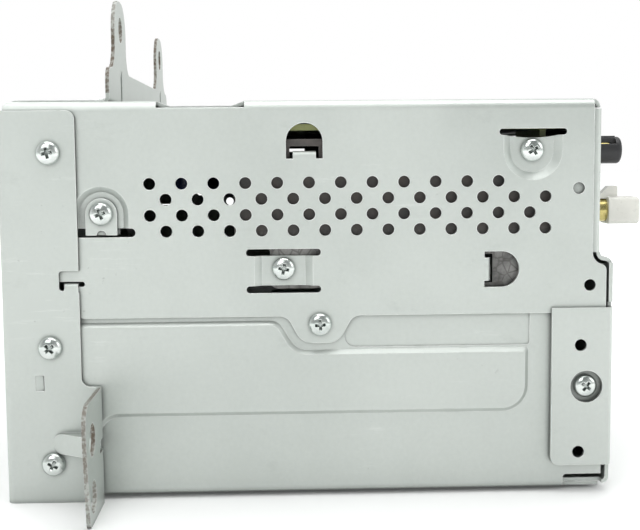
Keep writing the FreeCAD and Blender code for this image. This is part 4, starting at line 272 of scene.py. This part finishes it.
class Paint(Nodes):
    """One material and the nodes that feed its surface."""

    def __init__(self, name):
        self.material = bpy.data.materials.new(name)
        self.material.use_nodes = True
        super().__init__(self.material.node_tree)
        self.surface = self.tree.nodes["Principled BSDF"]
        self.place = self.add("ShaderNodeTexCoord", {}, {}, "Object")

    def noise(self, scale, detail=3.0, rough=0.5, stretch=None):
        """Soft noise, in cycles per metre, drawn out by a stretch."""
        where = self.place
        if stretch:
            where = self.add("ShaderNodeMapping", {}, {"Vector": self.place, "Scale": stretch})
        inputs = {"Vector": where, "Scale": scale, "Detail": detail, "Roughness": rough}
        return self.add("ShaderNodeTexNoise", {}, inputs)

    def cells(self, scale, feature="F1"):
        """Distance to the nearest of scattered points, or to the edge between them."""
        inputs = {"Vector": self.place, "Scale": scale}
        return self.add("ShaderNodeTexVoronoi", {"feature": feature}, inputs, "Distance")

    def mix(self, factor, first, second):
        """Blend of two colours."""
        node = self.tree.nodes.new("ShaderNodeMix")
        node.data_type = "RGBA"
        self.feed(node.inputs[0], factor)
        self.feed(node.inputs[6], first)
        self.feed(node.inputs[7], second)
        return Wire(self, node.outputs[2])

    def parts(self, vector):
        """The three numbers of a vector."""
        node = self.tree.nodes.new("ShaderNodeSeparateXYZ")
        self.feed(node.inputs[0], vector)
        return [Wire(self, output) for output in node.outputs]

    def facing(self):
        """Which way the surface faces, as three numbers."""
        return self.parts(self.add("ShaderNodeNewGeometry", {}, {}, "True Normal"))

    def open_sky(self, reach, **settings):
        """How open the surface is to its surroundings within a reach: nought in a closed corner."""
        settings["samples"] = 8
        return self.add("ShaderNodeAmbientOcclusion", settings, {"Distance": reach}, "AO")

    def rim(self, radius):
        """Rounded normal of the edges, and a mask that shows where they are."""
        rounded = self.add("ShaderNodeBevel", {"samples": 6}, {"Radius": radius})
        flat = self.add("ShaderNodeNewGeometry", {}, {}, "Normal")
        dot = {"operation": "DOT_PRODUCT"}
        alike = self.add("ShaderNodeVectorMath", dot, {0: rounded, 1: flat}, "Value")
        return rounded, self.between(1.0 - alike, 0.01, 0.16)

    def relief(self, height, strength, distance, normal=None):
        """Bumps from a height."""
        inputs = {"Height": height, "Strength": strength, "Distance": distance}
        if normal is not None:
            inputs["Normal"] = normal
        return self.add("ShaderNodeBump", {}, inputs)

    def finish(self, **sockets):
        """Feed the surface's sockets by name."""
        for name, value in sockets.items():
            self.feed(self.surface.inputs[name.replace("_", " ").title()], value)
        return self.material


# Finishes

def scaled(colour, share):
    """A colour made darker or lighter."""
    return tuple(c * share for c in colour)


def sheared_edges(paint):
    """Masks of the ears' raw edges and of the side flanges' rear edges."""
    along = paint.facing()[0]
    x, y, z = paint.parts(paint.place)
    lower = (y.size() > LOWER_EAR_ROOT) * x.within(
        LOWER_EAR_FRONT - EAR_MARGIN, LOWER_EAR_FRONT + SHEET + EAR_MARGIN)
    above_beads = (z > UPRIGHT_TOP).most((y.size() > SLOPE_OUT) * (z > SLOPE_FOOT))
    upper = above_beads * x.within(UPRIGHT_FRONT - EAR_MARGIN, UPRIGHT_FRONT + SHEET + EAR_MARGIN)
    ears = lower.most(upper) * (along.size() < 0.6)
    flange_end = x.within(FLANGE_END - FLANGE_MARGIN, FLANGE_END + FLANGE_MARGIN)
    flanges = (y.size() > FLANGE_IN) * flange_end * (along > 0.7)
    return ears, flanges


def zinc_sheet(name, light, dark, wear=1.0, raw_edges=False):
    """Zinc-plated sheet: cloudy plating, fine speckle, smudges, small marks, bright edges that are partly
    rubbed and partly a painted highlight, and painted shade in corners and recesses.
    """
    paint = Paint(name)
    cloud = paint.noise(16.0, detail=4.0, rough=0.55)
    speckle = paint.noise(900.0, rough=0.6)
    grain = paint.noise(2600.0, detail=2.0)
    smears = paint.noise(48.0, detail=6.0, rough=0.75, stretch=(1.0, 1.0, 1.9))
    smudge = paint.between(smears, 0.60, 0.74)
    patch = paint.between(paint.noise(21.0, detail=2.0, rough=0.4), 0.55, 0.66)
    mark = paint.between(paint.noise(520.0, rough=0.6), 0.70, 0.75) * patch
    streaks = paint.noise(60.0, detail=5.0, rough=0.7, stretch=(1.0, 1.0, 9.0))
    rub = paint.between(streaks, 0.60, 0.72) * patch * wear
    rounded, rim = paint.rim(0.00042)
    colour = paint.mix(paint.between(cloud * 0.8 + speckle * 0.2, 0.38, 0.62), dark, light)
    colour = paint.mix((smudge * 0.30 * wear).clamped(), colour, scaled(dark, 0.80))
    colour = paint.mix((mark * 0.45 * wear).clamped(), colour, scaled(dark, 0.55))
    colour = paint.mix((rub * 0.35).clamped(), colour, RUBBED_ZINC)
    # bright rims: partly rubbed plating, partly a painted highlight along edges and hole rims
    worn_and_highlit_rim = rim * paint.between(paint.noise(260.0), 0.28, 0.48)
    colour = paint.mix(worn_and_highlit_rim * 0.85, colour, BARE_AND_HIGHLIT_RIM)
    # painted shade: darker in corners, creases, seams and recesses, by how open the surface is
    corner_shade = paint.between(paint.open_sky(0.0022), 0.30, 0.80, 0.60, 0.0)
    recess_shade = paint.between(paint.open_sky(0.009), 0.35, 0.90, 0.14, 0.0)
    colour = paint.mix((corner_shade + recess_shade).clamped(), colour, PAINTED_SHADE)
    roughness = paint.between(cloud, 0.3, 0.7, 0.40, 0.50) + smudge * 0.05 - worn_and_highlit_rim * 0.08 + grain * 0.03
    metallic = 0.75 - worn_and_highlit_rim * 0.62
    if raw_edges:
        # brown on the ears' raw edges without plating, dark along the side flanges' rear edges
        ears, flanges = sheared_edges(paint)
        mottled = paint.between(paint.noise(1100.0, rough=0.6), 0.42, 0.56)
        stained = paint.between(paint.noise(33.0, detail=2.0), 0.40, 0.56)
        colour = paint.mix(ears * (0.22 + stained * 0.33 + mottled * 0.42), colour, BROWN_EDGE)
        colour = paint.mix(flanges * 0.75, colour, SHADED_EDGE)
        roughness = roughness + ears * 0.2
        metallic = (metallic - ears * 0.35).clamped()
    bump = paint.relief(speckle * 0.5 + grain * 0.3 - rub * 0.2 - mark * 0.4, 0.09, 0.0002, rounded)
    return paint.finish(base_color=colour, roughness=roughness, metallic=metallic, normal=bump)


def turned_metal(name, light, dark, rough=0.3, fine=1500.0, hollow=0.0):
    """Plated or turned metal of small pieces with a painted highlight on its edges; with a hollow's reach
    given, painted shade in its hollows.
    """
    paint = Paint(name)
    cloud = paint.noise(260.0, detail=4.0, rough=0.6)
    grain = paint.noise(fine, detail=2.0)
    rounded, rim = paint.rim(0.0002)
    colour = paint.mix(paint.between(cloud, 0.35, 0.65), dark, light)
    # painted highlight along the edges
    colour = paint.mix(rim * 0.5, colour, tuple(min(c * 1.2, 0.96) for c in light))
    if hollow:
        # painted shade in the hollows, such as the cross recess
        closed = paint.between(paint.open_sky(hollow, only_local=True), 0.35, 0.85, 0.85, 0.0)
        colour = paint.mix(closed, colour, PAINTED_HOLLOW_SHADE)
    roughness = paint.between(cloud, 0.3, 0.7, rough - 0.05, rough + 0.08)
    bump = paint.relief(grain, 0.06, 0.0001, rounded)
    return paint.finish(base_color=colour, roughness=roughness, metallic=0.92, normal=bump)


def sink_metal(name):
    """Dull dark aluminium with stains, paler towards its foot from painted light, and with a painted
    highlight on its edges.
    """
    paint = Paint(name)
    height = paint.parts(paint.place)[2]
    cloud = paint.noise(140.0, detail=5.0, rough=0.65)
    grain = paint.noise(900.0, detail=2.0)
    # painted light: paler low down, where light falls in through the case's window; painted shade higher up
    painted_light = paint.between(height, SINK_LIT_TOP, SINK_SHADED_FOOT, 1.0, 0.0)
    upper = paint.mix(paint.between(cloud, 0.35, 0.65), (0.072, 0.070, 0.070), (0.140, 0.124, 0.116))
    lower = paint.mix(paint.between(cloud, 0.35, 0.62), (0.110, 0.108, 0.106), (0.330, 0.325, 0.315))
    veins = paint.between(paint.cells(420.0, "DISTANCE_TO_EDGE"), 0.02, 0.09, 0.5, 0.0)
    lower = paint.mix(veins, lower, (0.07, 0.065, 0.06))
    rounded, rim = paint.rim(0.0003)
    # painted highlight along the edges
    colour = paint.mix(rim * 0.5, paint.mix(painted_light, upper, lower), (0.45, 0.44, 0.43))
    roughness = paint.between(cloud, 0.3, 0.7, 0.42, 0.60)
    bump = paint.relief(grain + cloud * 0.4, 0.15, 0.0002, rounded)
    return paint.finish(base_color=colour, roughness=roughness, metallic=0.8, normal=bump)


def moulded(name, colour, rough=0.48, grain=1800.0, shine=0.0):
    """Moulded plastic with a fine spark-eroded grain and a painted highlight on its edges."""
    paint = Paint(name)
    texture = paint.noise(grain, rough=0.6)
    flow = paint.noise(90.0)
    rounded, rim = paint.rim(0.00025)
    painted_light = tuple(min(c * 1.35 + 0.015, 0.95) for c in colour)
    tint = paint.mix(paint.between(flow, 0.35, 0.65), scaled(colour, 0.82), colour)
    # painted highlight on the edges
    tint = paint.mix(rim * 0.6, tint, painted_light)
    roughness = paint.between(texture, 0.3, 0.7, rough - 0.06, rough + 0.10)
    bump = paint.relief(texture, 0.18, 0.00012, rounded)
    return paint.finish(base_color=tint, roughness=roughness, coat_weight=shine, normal=bump)


def lacquered_board(name):
    """Green circuit board: copper tracks and pads under lacquer."""
    paint = Paint(name)
    tracks = paint.between(paint.cells(210.0, "DISTANCE_TO_EDGE"), 0.03, 0.06, 1.0, 0.0)
    pads = paint.between(paint.cells(330.0), 0.10, 0.14, 1.0, 0.0)
    weave = paint.noise(900.0, detail=2.0)
    colour = paint.mix(tracks * 0.7, (0.055, 0.13, 0.028), (0.10, 0.20, 0.045))
    colour = paint.mix(pads, colour, (0.62, 0.62, 0.58))
    # the sawn edge shows the pale yellow-green laminate
    upward = paint.facing()[2]
    colour = paint.mix(upward.size() < 0.5, colour, (0.40, 0.43, 0.16))
    roughness = paint.between(weave, 0.3, 0.7, 0.28, 0.42)
    bump = paint.relief(tracks + pads * 0.8 + weave * 0.1, 0.3, 0.00012)
    return paint.finish(
        base_color=colour, roughness=roughness, coat_weight=0.3, metallic=pads * 0.8, normal=bump)


def felt_pile(name):
    """Short black pile."""
    paint = Paint(name)
    fibre = paint.noise(5200.0, rough=0.7, stretch=(1.0, 0.4, 1.0))
    clump = paint.noise(700.0)
    colour = paint.mix(paint.between(fibre, 0.35, 0.7), (0.010, 0.010, 0.011), (0.055, 0.055, 0.058))
    bump = paint.relief(fibre + clump * 0.6, 0.9, 0.0003)
    return paint.finish(base_color=colour, roughness=0.95, sheen_weight=0.5, normal=bump)


def rubber(name):
    """Ground black rubber with a dusty bloom."""
    paint = Paint(name)
    bloom = paint.noise(140.0, detail=5.0, rough=0.65)
    grain = paint.noise(2600.0, detail=2.0)
    colour = paint.mix(paint.between(bloom, 0.4, 0.7), (0.018, 0.018, 0.019), (0.075, 0.073, 0.070))
    roughness = paint.between(bloom, 0.3, 0.7, 0.62, 0.85)
    bump = paint.relief(grain + bloom * 0.5, 0.35, 0.0001)
    return paint.finish(base_color=colour, roughness=roughness, normal=bump)


def coated_glass(name):
    """Lens with a faint blue coating."""
    paint = Paint(name)
    film = paint.noise(300.0, detail=2.0)
    colour = paint.mix(film, (0.25, 0.38, 0.62), (0.42, 0.34, 0.66))
    roughness = paint.between(film, 0.2, 0.8, 0.03, 0.08)
    bump = paint.relief(film, 0.02, 0.0001)
    paint.surface.inputs["IOR"].default_value = 1.55
    return paint.finish(
        base_color=colour, roughness=roughness, coat_weight=0.8, metallic=0.15, normal=bump)


def thin_film(name):
    """Flat cable: pale film over fine parallel conductors."""
    paint = Paint(name)
    across = paint.parts(paint.place)[1]
    stripe = paint.add("ShaderNodeMath", {"operation": "SINE"}, {0: across * CONDUCTOR_WAVES})
    line = paint.between(stripe, -0.2, 0.4)
    haze = paint.noise(500.0, detail=2.0)
    colour = paint.mix(line, (0.52, 0.53, 0.50), (0.80, 0.81, 0.78))
    roughness = paint.between(haze, 0.3, 0.7, 0.25, 0.4)
    bump = paint.relief(line + haze * 0.3, 0.25, 0.0001)
    return paint.finish(base_color=colour, roughness=roughness, coat_weight=0.2, normal=bump)


FINISHES = {
    "zinc_sheet": zinc_sheet("zinc_plated_sheet", (0.590, 0.622, 0.594), (0.520, 0.552, 0.526)),
    "screw_zinc": turned_metal(
        "bright_zinc", (0.74, 0.77, 0.75), (0.52, 0.56, 0.54), rough=0.17, hollow=0.0013),
    "tin_plate": zinc_sheet("tin_plated_sheet", (0.66, 0.67, 0.67), (0.58, 0.59, 0.60), wear=0.5),
    "bright_steel": turned_metal("ground_steel", (0.70, 0.70, 0.71), (0.60, 0.60, 0.62), rough=0.16),
    "spring_steel": turned_metal("spring_wire", (0.42, 0.42, 0.43), (0.30, 0.30, 0.31), rough=0.34),
    "sink_aluminium": sink_metal("chromated_aluminium"),
    "die_casting": turned_metal(
        "die_casting", (0.50, 0.51, 0.51), (0.40, 0.41, 0.42), rough=0.44, fine=700.0),
    "brass": turned_metal("turned_brass", (0.62, 0.53, 0.22), (0.46, 0.39, 0.15), rough=0.26),
    "copper_winding": turned_metal(
        "enamelled_copper", (0.62, 0.25, 0.11), (0.46, 0.17, 0.07), rough=0.28, fine=2600.0),
    "contact_plate": turned_metal("gilded_contact", (0.80, 0.66, 0.34), (0.66, 0.52, 0.25), rough=0.22),
    "black_plastic": moulded("black_moulding", (0.022, 0.022, 0.024), rough=0.42),
    "white_plastic": moulded("white_moulding", (0.74, 0.73, 0.68), rough=0.30, grain=900.0, shine=0.25),
    "gear_plastic": moulded("natural_moulding", (0.70, 0.67, 0.58), rough=0.42),
    "grey_plastic": moulded("grey_moulding", (0.13, 0.13, 0.14), rough=0.46),
    "chip_plastic": moulded("chip_moulding", (0.030, 0.030, 0.032), rough=0.55, grain=2600.0),
    "board_green": lacquered_board("circuit_board"),
    "sleeve_blue": moulded("shrunk_sleeve", (0.03, 0.045, 0.12), rough=0.26, grain=600.0, shine=0.4),
    "ribbon_white": thin_film("flat_cable"),
    "roller_rubber": rubber("roller_rubber"),
    "damper_rubber": rubber("damper_rubber"),
    "felt": felt_pile("felt_pile"),
    "lens_glass": coated_glass("coated_lens"),
}
raw_edged_sheet = zinc_sheet(
    "zinc_sheet_with_raw_edges", (0.570, 0.602, 0.575), (0.510, 0.542, 0.516), wear=0.9, raw_edges=True)
slot_of = {part["node"]: part["material_slot"] for part in frame["record"]["subparts"]}
for name, node in NODES.items():
    node.data.materials.clear()
    node.data.materials.append(raw_edged_sheet if name == "front_panel" else FINISHES[slot_of[name]])


# Pieces that are modelled one by one

def deselect():
    """Object mode with nothing selected."""
    if bpy.context.object and bpy.context.object.mode != "OBJECT":
        bpy.ops.object.mode_set(mode="OBJECT")
    bpy.ops.object.select_all(action="DESELECT")


def select_only(piece):
    """One piece selected and active."""
    deselect()
    piece.select_set(True)
    bpy.context.view_layer.objects.active = piece


def select_cap(piece, level):
    """In edit mode, select only the faces at one height."""
    bpy.ops.mesh.select_all(action="DESELECT")
    bpy.ops.object.mode_set(mode="OBJECT")
    for face in piece.data.polygons:
        face.select = abs(face.center.z - level) < 1e-6 and abs(face.normal.z) > 0.9
    bpy.ops.object.mode_set(mode="EDIT")
    bpy.ops.mesh.select_mode(type="FACE")


def face_outwards():
    """In edit mode, turn every face outwards."""
    bpy.ops.mesh.select_all(action="SELECT")
    bpy.ops.mesh.normals_make_consistent(inside=False)


def apply_modifier(piece, kind, **settings):
    """Add a modifier and apply it at once."""
    modifier = piece.modifiers.new(kind.title(), kind)
    for key, value in settings.items():
        setattr(modifier, key, value)
    bpy.context.view_layer.objects.active = piece
    bpy.ops.object.modifier_apply(modifier=modifier.name)


def settle(piece):
    """Put the piece's place into its mesh."""
    select_only(piece)
    bpy.ops.object.transform_apply(location=True, rotation=True, scale=True)


def smooth(piece, degrees):
    """Smooth shading, up to the angle at which an edge stays sharp."""
    select_only(piece)
    bpy.ops.object.shade_smooth_by_angle(angle=math.radians(degrees))


def join(pieces, name):
    """One mesh from several."""
    deselect()
    for piece in pieces:
        piece.select_set(True)
    bpy.context.view_layer.objects.active = pieces[0]
    bpy.ops.object.join()
    joined = bpy.context.object
    joined.name = name
    return joined


def dress(piece, slot, replaced):
    """Finish, slot and replaced node of a piece."""
    piece.data.materials.clear()
    piece.data.materials.append(FINISHES[slot])
    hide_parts(replaced)


def extrude_ring(rise, share):
    """In edit mode, draw the selected cap out along z and resize it."""
    bpy.ops.mesh.extrude_region_move(TRANSFORM_OT_translate={"value": (0, 0, rise * MM)})
    bpy.ops.transform.resize(value=(share, share, 1.0))


def cut_recess_arm(screw, turn, taper):
    """Cut one arm of the cross recess, narrower at its floor."""
    deselect()
    middle = (RECESS_FLOOR + RECESS_OPEN) / 2.0
    bpy.ops.mesh.primitive_cube_add(
        size=1.0, location=(0, 0, middle * MM), rotation=(0, 0, math.radians(turn)))
    arm = bpy.context.object
    arm.scale = (RECESS_LENGTH * MM, RECESS_WIDTH * MM, (RECESS_OPEN - RECESS_FLOOR) * MM)
    settle(arm)
    bpy.ops.object.mode_set(mode="EDIT")
    select_cap(arm, RECESS_FLOOR * MM)
    bpy.ops.transform.resize(value=(*taper, 1.0))
    bpy.ops.object.mode_set(mode="OBJECT")
    apply_modifier(screw, "BOOLEAN", operation="DIFFERENCE", object=arm, solver="EXACT")
    bpy.data.objects.remove(arm)


def pan_head_screw():
    """Cross-recessed screw: its seat at the origin, head up, threaded shank down."""
    deselect()
    bpy.ops.mesh.primitive_cylinder_add(
        vertices=48, radius=HEAD_R * MM, depth=HEAD_FLANK * MM, location=(0, 0, HEAD_FLANK / 2.0 * MM))
    screw = bpy.context.object
    settle(screw)
    bpy.ops.object.mode_set(mode="EDIT")
    # the crown of the head, ring by ring
    select_cap(screw, HEAD_FLANK * MM)
    radius = HEAD_R
    level = HEAD_FLANK
    for ring_r, ring_z in CROWN:
        extrude_ring(ring_z - level, ring_r / radius)
        radius = ring_r
        level = ring_z
    # the shank below, with its thread as ridges, and its tip
    select_cap(screw, 0.0)
    bpy.ops.mesh.inset(thickness=(HEAD_R - SHANK_R) * MM)
    radius = SHANK_R
    for i in range(THREAD_STEPS):
        ring_r = SHANK_R if i % 2 else THREAD_ROOT_R
        extrude_ring(-SHANK / THREAD_STEPS, ring_r / radius)
        radius = ring_r
    extrude_ring(-SCREW_TIP, 0.5)
    face_outwards()
    bpy.ops.object.mode_set(mode="OBJECT")
    cut_recess_arm(screw, 0.0, (RECESS_TAPER_ALONG, RECESS_TAPER_ACROSS))
    cut_recess_arm(screw, 90.0, (RECESS_TAPER_ACROSS, RECESS_TAPER_ALONG))
    apply_modifier(
        screw, "BEVEL", width=0.06 * MM, segments=2, limit_method="ANGLE", angle_limit=math.radians(35))
    smooth(screw, 38)
    return screw


def turned(degrees, axis):
    """A turn about one axis."""
    return Matrix.Rotation(math.radians(degrees), 4, axis)


def screw_places():
    """Place and turn of every case screw: both sides, the top, the rear and the main board."""
    places = []
    for x, z, seat, spin in SIDE_SCREWS:
        for side in (-1, 1):
            place = Matrix.Translation((x * MM, side * seat * MM, z * MM))
            places.append(place @ turned(-90.0 * side, "X") @ turned(spin, "Z"))
    for y in (-TOP_SCREW_Y, TOP_SCREW_Y):
        places.append(Matrix.Translation((TOP_SCREW_X * MM, y * MM, TOP_SEAT * MM)))
    for y in REAR_SCREW_Y:
        place = Matrix.Translation((REAR_SEAT * MM, y * MM, REAR_SCREW_Z * MM))
        places.append(place @ turned(90.0, "Y"))
    for x, y in BOARD_SCREWS:
        for side in (-1, 1):
            places.append(Matrix.Translation((x * MM, side * y * MM, BOARD_SEAT * MM)))
    return places


def case_screws():
    """Every case screw, copied from one."""
    model = pan_head_screw()
    screws = []
    for place in screw_places():
        screw = model.copy()
        screw.data = model.data.copy()
        bpy.context.scene.collection.objects.link(screw)
        screw.matrix_world = place
        screws.append(screw)
    bpy.data.objects.remove(model)
    for screw in screws:
        settle(screw)
    piece = join(screws, "case_screw_set")
    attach(piece, "chassis")
    dress(piece, "screw_zinc", "case_screws")


def felt_strip(low, high, z_low, z_high, tufts):
    """One strip of pile between two heights, with an uneven surface."""
    deselect()
    centre = ((low[0] + high[0]) / 2, (low[1] + high[1]) / 2, (z_low + z_high) / 2)
    bpy.ops.mesh.primitive_cube_add(size=1.0, location=centre)
    strip = bpy.context.object
    strip.scale = (high[0] - low[0], high[1] - low[1], (z_high - z_low) * FELT_SHARE)
    settle(strip)
    bpy.ops.object.mode_set(mode="EDIT")
    bpy.ops.mesh.select_all(action="SELECT")
    bpy.ops.mesh.subdivide(number_cuts=FELT_CUTS)
    bpy.ops.object.mode_set(mode="OBJECT")
    apply_modifier(
        strip, "DISPLACE", texture=tufts, texture_coords="LOCAL", strength=TUFT_HEIGHT, mid_level=0.6)
    return strip


def felt_strips():
    """Two strips of pile, along the lower and the upper edge of the slot."""
    low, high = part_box("slot_felts")
    tufts = bpy.data.textures.new("felt_tufts", "CLOUDS")
    tufts.noise_scale = TUFT_SIZE
    strips = [
        felt_strip(low, high, low[2], low[2] + FELT_THICK, tufts),
        felt_strip(low, high, high[2] - FELT_THICK, high[2], tufts),
    ]
    piece = join(strips, "slot_felt_strips")
    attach(piece, "chassis")
    dress(piece, "felt", "slot_felts")


def wound_spring(x, y):
    """One upright spring: the round section of its wire, wound up from foot to head."""
    deselect()
    bpy.ops.mesh.primitive_circle_add(
        vertices=14, radius=SPRING_WIRE_R, rotation=(math.radians(90.0), 0, 0))
    spring = bpy.context.object
    settle(spring)
    bpy.ops.object.mode_set(mode="EDIT")
    bpy.ops.mesh.select_all(action="SELECT")
    bpy.ops.transform.translate(value=(SPRING_COIL_R, 0, SPRING_FOOT))
    bpy.ops.object.mode_set(mode="OBJECT")
    pitch = (SPRING_HEAD - SPRING_FOOT) / SPRING_TURNS
    apply_modifier(
        spring, "SCREW", angle=math.radians(360.0), screw_offset=pitch, iterations=SPRING_TURNS,
        steps=36, render_steps=36, axis="Z")
    bpy.ops.object.mode_set(mode="EDIT")
    bpy.ops.mesh.select_all(action="SELECT")
    bpy.ops.mesh.fill_holes(sides=0)
    face_outwards()
    bpy.ops.object.mode_set(mode="OBJECT")
    smooth(spring, 50)
    spring.location = (x, y, 0)
    settle(spring)
    return spring


def float_springs():
    """The four springs under the deck, from their feet on the case up to their heads."""
    piece = join([wound_spring(x, y) for x in SPRING_X for y in SPRING_Y], "float_spring_set")
    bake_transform(piece)
    dress(piece, "spring_steel", "float_springs")


case_screws()
felt_strips()
float_springs()


# Floor, light and camera

def studio_sky():
    """White room that is grey overhead and behind the camera, so that plain metal has something to show."""
    world = bpy.data.worlds.new("studio")
    world.use_nodes = True
    sky = Nodes(world.node_tree)
    way = sky.add("ShaderNodeTexCoord", {}, {}, "Generated")
    dot = {"operation": "DOT_PRODUCT"}
    bright = sky.add("ShaderNodeVectorMath", dot, {0: way, 1: SKY_BRIGHT_WAY}, "Value")
    share = sky.between(bright, -1.0, 1.0)
    colour = sky.add("ShaderNodeValToRGB", {"stops": SKY_STOPS}, {"Fac": share}, "Color")
    background = world.node_tree.nodes["Background"]
    sky.feed(background.inputs["Color"], colour)
    sky.feed(background.inputs["Strength"], 1.0)
    bpy.context.scene.world = world
    bpy.context.scene.view_settings.view_transform = "Standard"


def studio_floor():
    """Pale floor that is plain near the unit and glows white away from it, like a lit table."""
    deselect()
    bpy.ops.mesh.primitive_plane_add(size=FLOOR_SIZE, location=(0.0, 0.0, 0.0))
    floor = bpy.context.object
    floor.name = "studio_floor"
    paint = Paint("studio_floor")
    mottle = paint.noise(3.0, detail=2.0)
    x, y, _ = paint.parts(paint.place)
    glow = paint.between(x * x + y * y, 0.03, 0.22, 0.10, 1.0)
    paint.finish(
        base_color=paint.mix(mottle, (0.86, 0.86, 0.86), (0.90, 0.90, 0.90)), roughness=0.9,
        emission_color=paint.mix(glow, (0.0, 0.0, 0.0), (0.97, 1.0, 0.98)),
        emission_strength=FLOOR_GLOW)
    floor.data.materials.append(paint.material)


def soft_lamps():
    """Broad soft lamps above, in front, to the right and behind."""
    for name, place, size, power in LAMPS:
        bpy.ops.object.light_add(type="AREA", location=place)
        lamp = bpy.context.object
        lamp.name = name
        lamp.data.size = size
        lamp.data.energy = power
        aim = LAMP_AIM - Vector(place)
        lamp.rotation_euler = aim.to_track_quat("-Z", "Y").to_euler()


def photo_camera():
    """Camera at the photograph's place, turn and focal length."""
    level_right = Vector((math.cos(CAMERA_YAW), -math.sin(CAMERA_YAW), 0.0))
    ahead = Vector((
        math.sin(CAMERA_YAW) * math.cos(CAMERA_PITCH),
        math.cos(CAMERA_YAW) * math.cos(CAMERA_PITCH),
        -math.sin(CAMERA_PITCH)))
    level_up = level_right.cross(ahead)
    right = math.cos(CAMERA_ROLL) * level_right + math.sin(CAMERA_ROLL) * level_up
    up = math.cos(CAMERA_ROLL) * level_up - math.sin(CAMERA_ROLL) * level_right
    turn = Matrix((right, up, -ahead)).transposed().to_4x4()
    data = bpy.data.cameras.new("photo_camera")
    data.lens = CAMERA_LENS
    data.sensor_width = CAMERA_SENSOR
    data.clip_start = CAMERA_NEAR
    camera = bpy.data.objects.new("photo_camera", data)
    bpy.context.scene.collection.objects.link(camera)
    camera.matrix_world = Matrix.Translation(CAMERA_PLACE) @ turn
    bpy.context.scene.camera = camera


studio_floor()
studio_sky()
soft_lamps()
photo_camera()
